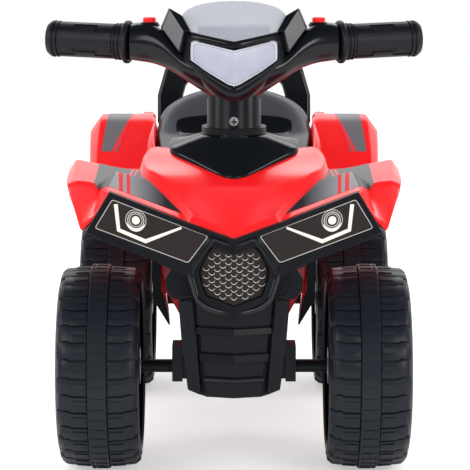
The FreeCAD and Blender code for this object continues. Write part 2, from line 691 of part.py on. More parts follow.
HUB_R = 20.0
HUB_Z = 371.5
HUB_TOP_R = 15.0
HUB_TOP = 380.5
CONSOLE = (36, -84, -44, 396, 423)
CONSOLE_T = 2.2
CELLS_Y = (-73.5, -58.8)
CELL_Z = 411.5
CELL_R = 7.1
CELL_HALF = 25.0
TRAY = (-29, 29, -81.4, -51, 402.8, 419.8)
SOUND_BOARD = (-28, 28, -80, -53, 399.5, 401.1)
SPEAKER_DEPTH = 6.6
SPEAKER_Z = 409.6
SPEAKER_R = 10.0
SPEAKER_T = 3.8
SPEAKER_PITCH = 4.0
SPEAKER_HOLE_R = 1.2


def bar_half_ring(station, side, inset):
    """Points of the upper (1) or lower (-1) half of one handlebar section, grown or shrunk by an inset."""
    x, y, z, depth, height = station
    points = []
    for i in range(BAR_STEPS + 1):
        angle = math.pi * i / BAR_STEPS
        rise = side * ((height - inset) * math.sin(angle) + SEAM)
        points.append(V(x, y + (depth - inset) * math.cos(angle), z + rise))
    return points


def bar_half_shell(side):
    """Upper or lower half of the hollow handlebar body."""
    sections = [bar_half_ring(s, side, 0) + bar_half_ring(s, side, BAR_WALL)[::-1] for s in BAR_STATIONS]
    return both(skin(sections))


def bar_solid():
    """Handlebar body without its hollow, grown by a little so that other pieces stay clear of it."""
    sections = []
    for station in BAR_STATIONS:
        lower = bar_half_ring(station, -1, -FACE_GAP)[::-1]
        sections.append(bar_half_ring(station, 1, -FACE_GAP) + lower[1:-1])
    return both(skin(sections))


# Headlight housing in front of the handlebar
HOUSING_Y = -124.0
HOUSING_SWEEP = 0.38
HOUSING_LEAN = 0.12
HOUSING_Z = 390.0
HOUSING_T = 18.0
HOUSING_ROOM = 1.01
HOUSING_OUTLINE = [(0, 408), (47, 420), (50, 397), (36, 371), (0, 350)]
LENS_OUTLINE = [(0, 402), (40, 411), (41.5, 409), (41.5, 391), (6, 368), (0, 367)]
LENS_CENTRE = (0, 390)
LENS_POCKET = 12.0
LENS_T = 4.0
LENS_DEPTH = 0.8
LENS_FILL = 0.985
LIGHT_BOARD = [(0, 396), (30, 402), (30, 390), (0, 377)]
WING_OUTLINE = [(61, 441.5), (52, 434), (42.6, 417), (44, 403), (66, 403), (71, 421), (63, 441.5)]
WING_SLOPE = (0.4125, 0.5713)
WING_FOOT = (42.6, -108, 417)
WING_T = 10.0
SHIELD_BOTTOM = (-117, 411.5)
SHIELD_TOP = (-70, 446.5)
SHIELD_OUTLINE = [(0, 0.03), (44, 0.24), (50.8, 0.61), (40, 0.82), (25, 0.96), (0, 1)]
SHIELD_T = 2.6


def housing_slab(points, depth, thickness):
    """Slab in the plane of the headlight, a depth behind its front."""
    front = HOUSING_Y + depth
    outline = [V(x, front + HOUSING_SWEEP * x + HOUSING_LEAN * (z - HOUSING_Z), z) for x, z in points]
    return prism(outline, V(0, thickness, 0))


def wing_point(x, z):
    """Point of the front face of a wing beside the windshield."""
    foot_x, foot_y, foot_z = WING_FOOT
    return V(x, foot_y + WING_SLOPE[0] * (x - foot_x) + WING_SLOPE[1] * (z - foot_z), z)


def make_headlight(core):
    """Headlight housing with its wings, the lens, the light board and the windshield above."""
    pocket = housing_slab(LENS_OUTLINE, -PAST, LENS_POCKET + PAST)
    half = housing_slab(HOUSING_OUTLINE, 0, HOUSING_T).cut(pocket)
    wing = prism([wing_point(x, z) for x, z in WING_OUTLINE], V(0, WING_T, 0)).cut(core)
    wing = max(wing.Solids, key=lambda solid: solid.Volume)
    housing = both(half.fuse(wing)).cut(column_bar(NECK_R + NECK_GAP, COLLAR_Z, NECK_Z1 + NECK_GAP))
    housing = housing.cut(column_bar(COLUMN_ROOM, COLLAR_Z, ROD_Z1))
    keep("headlight_housing", housing)
    lens = [(max(x - FACE_GAP, 0), z) for x, z in shrink(LENS_OUTLINE, LENS_CENTRE, LENS_FILL)]
    keep("headlight_lens", both(housing_slab(lens, LENS_DEPTH, LENS_T)))
    keep("light_board", both(housing_slab(LIGHT_BOARD, 8, 1.6)))
    slope = V(0, SHIELD_TOP[0] - SHIELD_BOTTOM[0], SHIELD_TOP[1] - SHIELD_BOTTOM[1])
    foot = V(0, *SHIELD_BOTTOM)
    outline = [foot + slope * share + V(x, 0, 0) for x, share in SHIELD_OUTLINE]
    normal = slope.cross(V(1, 0, 0)).normalize()
    if normal.z < 0:
        normal = normal * -1
    shield = both(prism(outline, normal * SHIELD_T))
    keep("windshield", max(shield.cut(housing).Solids, key=lambda solid: solid.Volume))


def make_console():
    """Console behind the windshield with the battery box, cells, speaker, sound board and cover."""
    half, y0, y1, z0, z1 = CONSOLE
    shell = box(-half, half, y0, y1, z0, z1)
    inside = half - CONSOLE_T
    keep("console", shell.cut(box(-inside, inside, y0 + CONSOLE_T, y1 + PAST, z0 - PAST, z1 - CONSOLE_T)))
    inside -= FACE_GAP
    cover = box(-inside, inside, y1 - CONSOLE_T, y1 - FACE_GAP, z0, z1 - CONSOLE_T - FACE_GAP)
    speaker = V(0, y1 - SPEAKER_DEPTH, SPEAKER_Z)
    holes = []
    for column in range(-2, 3):
        for row in range(-1, 2):
            start = speaker + V(column * SPEAKER_PITCH, 0, row * SPEAKER_PITCH)
            holes.append(rod(SPEAKER_HOLE_R, start, V(0, 1, 0), PAST))
    keep("console_cover", cover.cut(group(holes)))
    keep("speaker", rod(SPEAKER_R, speaker, V(0, 1, 0), SPEAKER_T))
    cells = [cross_bar(CELL_R, -CELL_HALF, CELL_HALF, y, CELL_Z) for y in CELLS_Y]
    room = CELL_HALF + 1
    troughs = [cross_bar(CELL_R + 0.2, -room, room, y, CELL_Z) for y in CELLS_Y]
    troughs.append(box(-room, room, CELLS_Y[0], CELLS_Y[1], CELL_Z, CELL_Z + PAST))
    keep("battery_box", box(*TRAY).cut(fused(troughs)))
    keep("battery_cells", group(cells))
    keep("sound_board", box(*SOUND_BOARD))
    half += FACE_GAP
    return box(-half, half, y0 - FACE_GAP, y1 + PAST, z0 - FACE_GAP, z1 + PAST)


def make_handlebar():
    """Handlebar shells, the frame inside them, the grips and the buttons."""
    core = bar_solid()
    make_headlight(core)
    console_space = make_console()
    housing_outline = shrink(HOUSING_OUTLINE, LENS_CENTRE, HOUSING_ROOM)
    housing_space = both(housing_slab(housing_outline, -PAST, HOUSING_T + PAST + FACE_GAP))
    column_space = column_bar(COLUMN_ROOM, COLLAR_Z, HUB_Z + FIT)
    neck_space = column_bar(NECK_R + NECK_GAP, COLLAR_Z, NECK_Z1 + NECK_GAP)
    boss = rod(COLLAR_BUTTON_R, V(BUTTON_X, BUTTON_Y, COLLAR_BUTTON_Z), V(0, 0, 1), COLLAR_BUTTON_H)
    hole = rod(BUTTON_R + 0.2, V(BUTTON_X, BUTTON_Y, BUTTON_FOOT), V(0, 0, 1), PAST)
    grip_space = rod(PAST, GRIP_START - GRIP_DIR * FACE_GAP, GRIP_DIR, PAST)
    grip_spaces = [grip_space, mirrored(grip_space)]
    upper = bar_half_shell(1).cut(fused([housing_space, console_space] + grip_spaces))
    upper = fused([upper, boss, mirrored(boss)]).cut(group([hole, mirrored(hole)]))
    keep("handlebar_upper_shell", upper)
    lower = bar_half_shell(-1).cut(fused([housing_space, column_space, neck_space] + grip_spaces))
    keep("handlebar_lower_shell", lower)
    arm = []
    for start, end in zip(ARM_PATH, ARM_PATH[1:]):
        arm += [rod(ARM_R, start, end - start, (end - start).Length), Part.makeSphere(ARM_R, end)]
    arm.append(rod(STUB_R, GRIP_START + GRIP_DIR * 0.6, GRIP_DIR, GRIP_LENGTH - STUB_END))
    half = fused(arm)
    hub = fused([column_bar(HUB_R, NECK_Z1 + NECK_GAP, HUB_Z), column_bar(HUB_TOP_R, HUB_Z - 1, HUB_TOP)])
    frame = fused([hub, half, mirrored(half)])
    bore = column_bar(ROD_R + FIT / 2, NECK_Z1 - PAST, HUB_TOP + PAST)
    keep("handlebar_frame", frame.cut(bore).cut(housing_space))
    make_grips()
    make_buttons()


GRIP_RINGS = (9, 12.5, 74, 77.5)
GRIP_RING_W = 1.6
FLANGE_R = 21.5
FLANGE_W = 5.0
GRIP_CAP = 6.0


def make_grips():
    """Sleeve grips with a flange at the inner end and rings at both ends."""
    grip = rod(GRIP_R, GRIP_START, GRIP_DIR, GRIP_LENGTH)
    flange = rod(FLANGE_R, GRIP_START, GRIP_DIR, FLANGE_W)
    starts = [GRIP_START + GRIP_DIR * at for at in GRIP_RINGS]
    rings = [tube(GRIP_R + 2, GRIP_R - 1, start, GRIP_DIR, GRIP_RING_W) for start in starts]
    bore = rod(STUB_R + FIT / 2, GRIP_START - GRIP_DIR, GRIP_DIR, GRIP_LENGTH - GRIP_CAP)
    grip = fused([grip, flange]).cut(group(rings)).cut(bore)
    keep("grip_left", grip)
    keep("grip_right", mirrored(grip))


def make_buttons():
    """Red push buttons with the switch boards under them."""
    plunger = rod(BUTTON_R, V(BUTTON_X, BUTTON_Y, BUTTON_FOOT), V(0, 0, 1), BUTTON_TOP - BUTTON_FOOT)
    rim = [edge for edge in plunger.Edges if edge.BoundBox.ZMin > BUTTON_TOP - FIT]
    foot = rod(BUTTON_FLANGE_R, V(BUTTON_X, BUTTON_Y, BUTTON_FOOT), V(0, 0, 1), BUTTON_FLANGE_T)
    button = plunger.makeFillet(BUTTON_EDGE, rim).fuse(foot)
    keep("button_left", button)
    keep("button_right", mirrored(button))
    plates = []
    for half, z0, z1 in ((BOARD_HALF, BOARD_Z, BOARD_Z + 1.4), (SWITCH_HALF, BOARD_Z + 1, SWITCH_TOP)):
        plates.append(box(BUTTON_X - half, BUTTON_X + half, BUTTON_Y - half, BUTTON_Y + half, z0, z1))
    board = fused(plates)
    keep("switch_board_left", board)
    keep("switch_board_right", mirrored(board))


# Screws: head radius, head height and shank radius of every one
SCREW = (5, 3, 2)
HANDLE_SCREW = (72, HANDLE_Y + 12, 278)


def make_screws():
    """Screw groups, each let into the pieces that it joins."""
    up, ahead = V(0, 0, 1), V(0, -1, 0)
    head_t = SCREW[1]
    boss_x, boss_z = SKID_BOSS
    boss = V(boss_x, BEAM_FRONT + BEAM_T + head_t, boss_z)
    body = [screw(V(x, y, BEAM_Z1 - BEAM_T - head_t), up, *SCREW, 40) for x, y in POSTS]
    handle = [screw(V(*HANDLE_SCREW), up, *SCREW, 24)]
    skid = [screw(boss, ahead, *SCREW, 20)]
    for name, screws, joined in (
        ("body_screws", body, ("chassis_frame", "rear_body")),
        ("handle_screws", handle, ("rear_body", "rear_handle")),
        ("skid_plate_screws", skid, ("chassis_frame", "skid_plate")),
    ):
        shape = keep(name, group(screws + [mirrored(part) for part in screws]))
        for piece in joined:
            PARTS[piece] = PARTS[piece].cut(shape)


def main():
    """Make every piece and write it as STEP."""
    make_front_cowl()
    make_rear_body()
    make_chassis_frame()
    make_skid_plate()
    make_fascia()
    make_dash_plate()
    make_seat()
    make_rear_handle()
    place_wheels()
    make_rear_axle()
    make_column(make_front_axle())
    make_handlebar()
    make_screws()
    os.makedirs("parts", exist_ok=True)
    for name, shape in PARTS.items():
        print(f"{name}: {len(shape.Solids)} solid(s), {shape.Volume / 1000:.1f} cm3, valid {shape.isValid()}")
        shape.exportStep(f"parts/{name}.step")


if __name__ == "__main__":
    main()
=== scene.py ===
"""Kids quad bike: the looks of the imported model, laid out as an add-on and run as a script."""
import json
import math

import bmesh
import bpy
from mathutils import Matrix, Vector


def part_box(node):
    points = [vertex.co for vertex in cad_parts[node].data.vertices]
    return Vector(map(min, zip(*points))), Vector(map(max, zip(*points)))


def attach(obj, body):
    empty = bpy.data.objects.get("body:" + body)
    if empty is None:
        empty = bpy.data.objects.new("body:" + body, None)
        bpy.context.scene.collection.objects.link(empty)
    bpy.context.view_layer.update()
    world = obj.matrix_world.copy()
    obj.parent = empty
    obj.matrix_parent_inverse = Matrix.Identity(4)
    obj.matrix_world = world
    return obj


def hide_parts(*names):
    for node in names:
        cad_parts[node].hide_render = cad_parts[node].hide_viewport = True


bl_info = {
    "name": "Kids quad bike",
    "version": (1, 0, 0),
    "blender": (4, 5, 0),
    "location": "3D View > Sidebar > Quad",
    "description": "Dresses the packed quad bike with moulded shells, wheels, grips and prints",
    "category": "Object",
}

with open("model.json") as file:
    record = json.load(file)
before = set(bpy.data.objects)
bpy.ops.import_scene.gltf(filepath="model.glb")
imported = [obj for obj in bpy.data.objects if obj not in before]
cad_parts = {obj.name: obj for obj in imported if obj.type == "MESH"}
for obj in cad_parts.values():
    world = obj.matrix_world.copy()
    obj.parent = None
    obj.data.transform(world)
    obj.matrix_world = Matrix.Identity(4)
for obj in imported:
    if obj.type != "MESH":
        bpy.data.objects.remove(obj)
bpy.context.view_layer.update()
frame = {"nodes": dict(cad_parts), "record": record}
MM = 0.001


def linear(hex_colour):
    """Linear RGBA of an sRGB hex value."""
    shares = [int(hex_colour[i:i + 2], 16) / 255 for i in (1, 3, 5)]
    return [c / 12.92 if c <= 0.04045 else ((c + 0.055) / 1.055) ** 2.4 for c in shares] + [1.0]


def colour(name, hex_colour, description):
    """Colour property with its default."""
    return bpy.props.FloatVectorProperty(
        name=name, description=description, default=linear(hex_colour), size=4, subtype="COLOR", min=0, max=1
    )


def length(name, millimetres, description):
    """Length property with its default in millimetres."""
    return bpy.props.FloatProperty(
        name=name, description=description, default=millimetres * MM, min=0, subtype="DISTANCE", unit="LENGTH"
    )


class QuadColours(bpy.types.PropertyGroup):
    """Colours of the mouldings and prints."""

    red: colour("Red", "#FF171D", "Cowl, rear body and buttons")
    black: colour("Black", "#101318", "Fascia, dash, handlebar shells, seat and handle")
    wheel: colour("Wheel", "#1B2028", "Wheels and the frame underneath")
    # Painted sheen: the seat is the black plastic, painted lighter grey for the light spread over its satin
    # face
    seat: colour("Seat", "#44474E", "Satin face of the seat")
    grip: colour("Grip", "#181A20", "Handlebar grips")
    film: colour("Film", "#3F3C3D", "Printed film on the fenders")
    # Painted reflection: the pods carry the same dark film as the fenders, painted pale grey for the light it
    # reflects
    film_pod_reflection: colour("Pod film", "#A0A0A6", "Printed film on the pods")
    # Painted sheen: the rear fenders carry the same dark film, painted lighter grey for the sheen of the
    # studio light on it
    film_rear_sheen: colour("Rear film", "#706D73", "Printed film on the rear fenders")
    stripe: colour("Stripe", "#F0303C", "Thin stripes printed on the film")
    ground: colour("Print ground", "#2E2827", "Ground of the headlight and grille prints")
    silver: colour("Silver print", "#C9C5C0", "Lines of the headlight and grille prints")
    lamp: colour("Printed lamp", "#F3EFE4", "Printed lamp and light bar")
    lens: colour("Lens", "#B2B8CB", "Milky headlight lens")
    # Painted highlight: the edge of the lens is painted paler for the light it catches
    lens_rim_highlight: colour("Lens edge", "#D6DAE6", "Paler edge of the lens")
    lens_dots: colour("Lens dots", "#868CA2", "Row of small dots along the edge of the lens")
    smoke: colour("Smoke", "#C2C4D0", "Tint of the windshield")


class QuadSizes(bpy.types.PropertyGroup):
    """Sizes of the finish."""

    edge: length("Edge rounding", 1.2, "Radius along the edges of the black mouldings")
    wall: length("Wall", 3.0, "Wall of the red shells")
    lug_gap: length("Lug gap", 1.5, "Groove between two lugs of a tyre")
    lugs: bpy.props.IntProperty(
        name="Lugs", description="Lugs on each side of a tyre", default=36, min=12, max=72
    )


def add_node(tree, kind, inputs=None, **settings):
    """Add a node with its settings, and set or link its inputs."""
    node = tree.nodes.new(kind)
    for key, value in settings.items():
        setattr(node, key, value)
    for key, value in (inputs or {}).items():
        if isinstance(value, bpy.types.NodeSocket):
            tree.links.new(value, node.inputs[key])
        else:
            node.inputs[key].default_value = value
    return node


def new_material(name):
    """Empty node material, its tree and its Object coordinates."""
    material = bpy.data.materials.new(name)
    material.use_nodes = True
    tree = material.node_tree
    tree.nodes.clear()
    return material, tree, add_node(tree, "ShaderNodeTexCoord").outputs["Object"]


# Each function below adds the patterns of a kind of finish and gives the inputs of its shader


def moulded(tree, place, base, roughness, grain_mm, grain, specular=0.5, coat=0.0):
    """Moulded plastic: one colour through, a gloss that varies with the mould's polish, and a fine grain."""
    polish = add_node(tree, "ShaderNodeTexNoise", {"Vector": place, "Scale": 1 / (60 * MM), "Detail": 3.0})
    gloss = add_node(
        tree, "ShaderNodeMapRange",
        {"Value": polish.outputs["Fac"], "From Min": 0.3, "From Max": 0.7,
         "To Min": roughness * 0.85, "To Max": roughness * 1.15},
    )
    # The grain is drawn coarser than the real one, so that it shows
    pores = add_node(
        tree, "ShaderNodeTexNoise", {"Vector": place, "Scale": 1 / (grain_mm * MM), "Detail": 2.0}
    )
    normal = add_node(
        tree, "ShaderNodeBump", {"Height": pores.outputs["Fac"], "Strength": grain, "Distance": 0.2 * MM}
    )
    return {"Base Color": base, "Roughness": gloss.outputs["Result"], "Normal": normal.outputs["Normal"],
            "IOR": 1.49, "Specular IOR Level": specular, "Coat Weight": coat, "Coat Roughness": 0.1}


# Stripes of the films: distance from the middle plane and width of each, slope, and y of that distance
POD_STRIPES = (((105.6, 4.0), (98.4, 3.4)), -0.05, -245)
FENDER_STRIPES = (((100.6, 2.6), (96.0, 2.0)), 0.1, -150)
REAR_STRIPES = (((111.0, 4.2),), 0.4, 140)
# Distances from the middle plane between which the film on the pods goes from black to grey; the grey
# outwards is a painted reflection
POD_REFLECTION_FADE = (64.0, 106.0)


def striped_film(tree, place, ground, stripe, stripes, inner=None):
    """Printed vinyl film: a satin ground with thin stripes along the fender; it may darken inwards, where a
    painted reflection on the ground fades out.
    """
    lines, slope, middle_y = stripes
    axes = add_node(tree, "ShaderNodeSeparateXYZ", {"Vector": place}).outputs
    across = add_node(tree, "ShaderNodeMath", {0: axes["X"]}, operation="ABSOLUTE").outputs[0]
    along = add_node(
        tree, "ShaderNodeMath", {0: axes["Y"], 1: slope, 2: -slope * middle_y * MM}, operation="MULTIPLY_ADD"
    )
    lane = add_node(tree, "ShaderNodeMath", {0: across, 1: along.outputs[0]}, operation="ADD").outputs[0]
    inked = 0.0
    for at, width in lines:
        span = {0: lane, 1: at * MM, 2: width / 2 * MM}
        hit = add_node(tree, "ShaderNodeMath", span, operation="COMPARE").outputs[0]
        inked = add_node(tree, "ShaderNodeMath", {0: inked, 1: hit}, operation="MAXIMUM").outputs[0]
    # Painted reflection: the ground fades from the inner colour near the middle to the pale ground outwards
    if inner:
        start, end = POD_REFLECTION_FADE
        outwards = add_node(
            tree, "ShaderNodeMapRange", {"Value": across, "From Min": start * MM, "From Max": end * MM}
        ).outputs["Result"]
        ground = add_node(
            tree, "ShaderNodeMix", {"Factor": outwards, "A": inner, "B": ground}, data_type="RGBA"
        ).outputs["Result"]
    ripple = add_node(tree, "ShaderNodeTexNoise", {"Vector": place, "Scale": 1 / (14 * MM), "Detail": 2.0})
    normal = add_node(
        tree, "ShaderNodeBump", {"Height": ripple.outputs["Fac"], "Strength": 0.05, "Distance": 0.3 * MM}
    )
    hue = add_node(tree, "ShaderNodeMix", {"Factor": inked, "A": ground, "B": stripe}, data_type="RGBA")
    return {"Base Color": hue.outputs["Result"], "Normal": normal.outputs["Normal"],
            "Roughness": 0.3, "IOR": 1.5}


def printed(tree, place, base, raster, specular):
    """Printed film: an ink with a faint raster, under a clear satin layer."""
    # The raster is drawn coarser than the real one, so that it shows
    dots = add_node(
        tree, "ShaderNodeTexVoronoi", {"Vector": place, "Scale": 1 / (1.1 * MM), "Randomness": 0.0}
    )
    share = add_node(
        tree, "ShaderNodeMapRange",
        {"Value": dots.outputs["Distance"], "From Max": 0.8, "To Min": raster, "To Max": 0.0},
    )
    dark = [c * 0.55 for c in base[:3]] + [1.0]
    hue = add_node(
        tree, "ShaderNodeMix", {"Factor": share.outputs["Result"], "A": base, "B": dark}, data_type="RGBA"
    )
    return {"Base Color": hue.outputs["Result"], "Roughness": 0.4, "IOR": 1.5, "Specular IOR Level": specular}


def milky_lens(tree, place, base):
    """Polycarbonate lens: milky, with a faint moulded optic of small pillows behind a smooth face."""
    optic = add_node(
        tree, "ShaderNodeTexVoronoi", {"Vector": place, "Scale": 1 / (2.4 * MM), "Randomness": 0.0}
    )
    normal = add_node(
        tree, "ShaderNodeBump", {"Height": optic.outputs["Distance"], "Strength": 0.06, "Distance": 0.25 * MM}
    )
    haze = add_node(tree, "ShaderNodeTexNoise", {"Vector": place, "Scale": 1 / (18 * MM), "Detail": 2.0})
    share = add_node(
        tree, "ShaderNodeMapRange",
        {"Value": haze.outputs["Fac"], "From Min": 0.3, "From Max": 0.7, "To Max": 0.15},
    )
    pale = linear("#F2F3F8")
    hue = add_node(
        tree, "ShaderNodeMix", {"Factor": share.outputs["Result"], "A": base, "B": pale}, data_type="RGBA"
    )
    return {"Base Color": hue.outputs["Result"], "Roughness": 0.3, "IOR": 1.58, "Subsurface Weight": 0.2,
            "Subsurface Scale": 3 * MM, "Normal": normal.outputs["Normal"]}


def smoky_acrylic(tree, place, base):
    """Tinted acrylic: a thin hazy grey sheet that lets some light through, with faint flow lines."""
    flow = add_node(tree, "ShaderNodeTexNoise", {"Vector": place, "Scale": 1 / (30 * MM), "Detail": 1.0})
    tint = add_node(
        tree, "ShaderNodeMapRange",
        {"Value": flow.outputs["Fac"], "From Min": 0.3, "From Max": 0.7, "To Min": 0.56, "To Max": 0.64},
    )
    return {"Base Color": base, "Roughness": 0.1, "IOR": 1.49, "Alpha": tint.outputs["Result"]}


def bare_metal(tree, place, base, roughness):
    """Bright metal with drawn lines along the bar."""
    long = add_node(tree, "ShaderNodeMapping", {"Vector": place, "Scale": (0.05, 1.0, 1.0)})
    # The drawn lines are coarser than the real ones, so that they show
    lines = add_node(
        tree, "ShaderNodeTexNoise", {"Vector": long.outputs["Vector"], "Scale": 1 / (0.5 * MM), "Detail": 4.0}
    )
    gloss = add_node(
        tree, "ShaderNodeMapRange",
        {"Value": lines.outputs["Fac"], "From Min": 0.3, "From Max": 0.7,
         "To Min": roughness * 0.7, "To Max": roughness * 1.3},
    )
    return {"Base Color": base, "Metallic": 1.0, "Roughness": gloss.outputs["Result"]}


def circuit_board(tree, place):
    """Glass-epoxy board: green solder mask, paler over the copper tracks."""
    tracks = add_node(
        tree, "ShaderNodeTexBrick",
        {"Vector": place, "Scale": 1.0, "Mortar Size": 0.35 * MM, "Brick Width": 6 * MM,
         "Row Height": 2.5 * MM, "Color1": linear("#1D6B38"), "Color2": linear("#1A6033"),
         "Mortar": linear("#2E8A4C")},
    )
    return {"Base Color": tracks.outputs["Color"], "Roughness": 0.35, "IOR": 1.5}


def look(name):
    """Material of a finish, made at its first use."""
    if name in bpy.data.materials:
        return bpy.data.materials[name]
    hues = bpy.context.scene.quad_colours
    material, tree, place = new_material(name)
    surface = {
        # Polypropylene from a polished mould: bright, even red with broad soft highlights
        "red polypropylene": lambda: moulded(tree, place, hues.red, 0.24, 1.2, 0.03, 0.5, 0.2),
        # The same plastic in black: deep charcoal with a clear, dim reflection of the studio
        "black polypropylene": lambda: moulded(tree, place, hues.black, 0.16, 1.2, 0.03, 0.36),
        # The same black with a duller face on the broad mouldings of the front
        "dull polypropylene": lambda: moulded(tree, place, hues.black, 0.3, 1.2, 0.05, 0.2),
        # Seat shell: the same black plastic with a satin face, painted lighter grey for the sheen of the
        # light it spreads
        "satin polypropylene with painted sheen": lambda: moulded(tree, place, hues.seat, 0.36, 1.0, 0.08, 0.5),
        # Polypropylene from an etched mould: dull black with a fine leathery grain
        "grained polypropylene": lambda: moulded(tree, place, hues.wheel, 0.42, 0.9, 0.2, 0.25),
        # Blow-moulded polyethylene: satin, a little wavy
        "wheel polyethylene": lambda: moulded(tree, place, hues.wheel, 0.36, 1.6, 0.1, 0.3),
        # Soft vinyl: matt, fine grain
        "grip vinyl": lambda: moulded(tree, place, hues.grip, 0.44, 0.7, 0.16, 0.3),
        # Vinyl film on the pods and fenders, with stripes in the colour of the shell; on the pods the film is
        # painted pale grey as a reflection of the light and fades to black inwards
        "pod film with painted reflection": lambda: striped_film(tree, place, hues.film_pod_reflection, hues.stripe, POD_STRIPES, hues.black),
        "fender film": lambda: striped_film(tree, place, hues.film, hues.stripe, FENDER_STRIPES),
        # On the rear fenders the film is painted lighter grey for the sheen of the studio light
        "rear fender film with painted sheen": lambda: striped_film(tree, place, hues.film_rear_sheen, hues.stripe, REAR_STRIPES),
        # Printed film in the fascia: a brown-black ground, silver lines and cream lamps
        "print ground": lambda: printed(tree, place, hues.ground, 0.15, 0.15),
        "silver print": lambda: printed(tree, place, hues.silver, 0.05, 0.3),
        "lamp print": lambda: printed(tree, place, hues.lamp, 0.04, 0.3),
        "lens print": lambda: printed(tree, place, hues.lens_dots, 0.04, 0.3),
        # Milky polycarbonate: pale and soft, painted paler along the edge of the lens as a highlight
        "lens rim highlight": lambda: milky_lens(tree, place, hues.lens_rim_highlight),
        "milky polycarbonate": lambda: milky_lens(tree, place, hues.lens),
        # Smoky acrylic: a grey haze with the white room behind it
        "smoky acrylic": lambda: smoky_acrylic(tree, place, hues.smoke),
        # Zinc-plated steel: cool grey with drawn lines
        "plated steel": lambda: bare_metal(tree, place, linear("#D9DADC"), 0.42),
        # Natural nylon: dull white
        "nylon": lambda: moulded(tree, place, linear("#E4E2DA"), 0.45, 1.5, 0.08),
        # Circuit board: glossy green with fine lines
        "circuit board": lambda: circuit_board(tree, place),
        # Pressed paper and steel of a small speaker: flat black; the same black paints the shade in the cross
        # recess of the neck screw
        "speaker black and painted shade": lambda: moulded(tree, place, linear("#202022"), 0.6, 0.8, 0.3),
        # Shrunk metallic sleeve of a cell: bright grey
        "cell sleeve": lambda: bare_metal(tree, place, linear("#7F858C"), 0.28),
    }[name]()
    shader = add_node(tree, "ShaderNodeBsdfPrincipled", surface)
    add_node(tree, "ShaderNodeOutputMaterial", {"Surface": shader.outputs["BSDF"]})
    return material


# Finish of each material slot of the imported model
SLOT_LOOKS = {
    "red_gloss": "red polypropylene",
    "red_button": "red polypropylene",
    "black_gloss": "black polypropylene",
    "black_matte": "grained polypropylene",
    "grip_black": "grip vinyl",
    "wheel_black": "wheel polyethylene",
    "headlight_print": "print ground",
    "grille_print": "print ground",
    "lens_pale": "milky polycarbonate",
    "smoke_clear": "smoky acrylic",
    "steel": "plated steel",
    "nylon": "nylon",
    "board_green": "circuit board",
    "speaker_black": "speaker black and painted shade",
    "cell_wrap": "cell sleeve",
}


def chain(bm, points):
    """Vertices through a few points in millimetres, joined by edges."""
    verts = [bm.verts.new(Vector(point) * MM) for point in points]
    for pair in zip(verts, verts[1:]):
        bm.edges.new(pair)
    return verts


def loft(bm, chains):
    """Quads between neighbouring chains."""
    for near, far in zip(chains, chains[1:]):
        edges = [bm.edges.get(pair) for row in (near, far) for pair in zip(row, row[1:])]
        bmesh.ops.bridge_loops(bm, edges=edges)


def crease(bm, verts, share):
    """Keep the line through neighbouring vertices sharp by a share."""
    layer = bm.edges.layers.float.get("crease_edge") or bm.edges.layers.float.new("crease_edge")
    for pair in zip(verts, verts[1:]):
        edge = bm.edges.get(pair)
        if edge:
            edge[layer] = share


def mirror_half(bm):
    """Add the mirror image across the middle plane and join both."""
    half = bm.verts[:] + bm.edges[:] + bm.faces[:]
    bmesh.ops.mirror(bm, geom=half, matrix=Matrix(), merge_dist=0.02 * MM, axis="X")


def turn_outwards(bm, towards=None):
    """Point the faces outwards; an open sheet faces a direction."""
    bmesh.ops.recalc_face_normals(bm, faces=bm.faces)
    if towards:
        total = sum((face.normal * face.calc_area() for face in bm.faces), Vector())
        if total.dot(Vector(towards)) < 0:
            bmesh.ops.reverse_faces(bm, faces=bm.faces)


def both_halves(bm, towards=None):
    """Add the mirror image and point the faces outwards."""
    mirror_half(bm)
    turn_outwards(bm, towards)


def open_middle(bm):
    """Delete the faces that lie in the middle plane, where two halves meet."""
    middle = [face for face in bm.faces if all(abs(vert.co.x) < 0.01 * MM for vert in face.verts)]
    bmesh.ops.delete(bm, geom=middle, context="FACES_ONLY")


def pulled(bm, faces):
    """Extrude faces into a wall, and give the vertices of its new end."""
    made = bmesh.ops.extrude_face_region(bm, geom=faces)
    return [part for part in made["geom"] if isinstance(part, bmesh.types.BMVert)]


def slab(bm, points, push):
    """Flat outline in millimetres pulled along a direction."""
    face = bm.faces.new([bm.verts.new(Vector(point) * MM) for point in points])
    bmesh.ops.translate(bm, verts=pulled(bm, [face]), vec=Vector(push) * MM)


def block(bm, size, matrix):
    """Box of a size in millimetres, placed by a matrix."""
    made = bmesh.ops.create_cube(bm, size=1.0, matrix=matrix @ Matrix.Diagonal((*[s * MM for s in size], 1)))
    return made["verts"]


def shifted(x, y, z):
    """Matrix that moves by millimetres."""
    return Matrix.Translation(Vector((x, y, z)) * MM)


def rounded_off(bm, edges, radius_mm):
    """Round edges off by a radius."""
    bmesh.ops.bevel(
        bm, geom=edges, offset=radius_mm * MM, segments=2, profile=0.5, affect="EDGES", material=-1,
        clamp_overlap=True,
    )


def lathe(bm, profile, steps):
    """Round shape about the X axis from a closed outline of (x, radius) points in millimetres."""
    verts = chain(bm, [(x, 0, r) for x, r in profile])
    bm.edges.new((verts[-1], verts[0]))
    edges = [edge for vert in verts for edge in vert.link_edges]
    bmesh.ops.spin(
        bm, geom=verts + list(set(edges)), cent=(0, 0, 0), axis=(1, 0, 0), angle=2 * math.pi, steps=steps,
        use_merge=True,
    )
    bmesh.ops.remove_doubles(bm, verts=bm.verts, dist=0.01 * MM)


def join(bm, extra):
    """Add the shapes of another bmesh and free it."""
    mesh = bpy.data.meshes.new("extra")
    extra.to_mesh(mesh)
    extra.free()
    bm.from_mesh(mesh)
    bpy.data.meshes.remove(mesh)


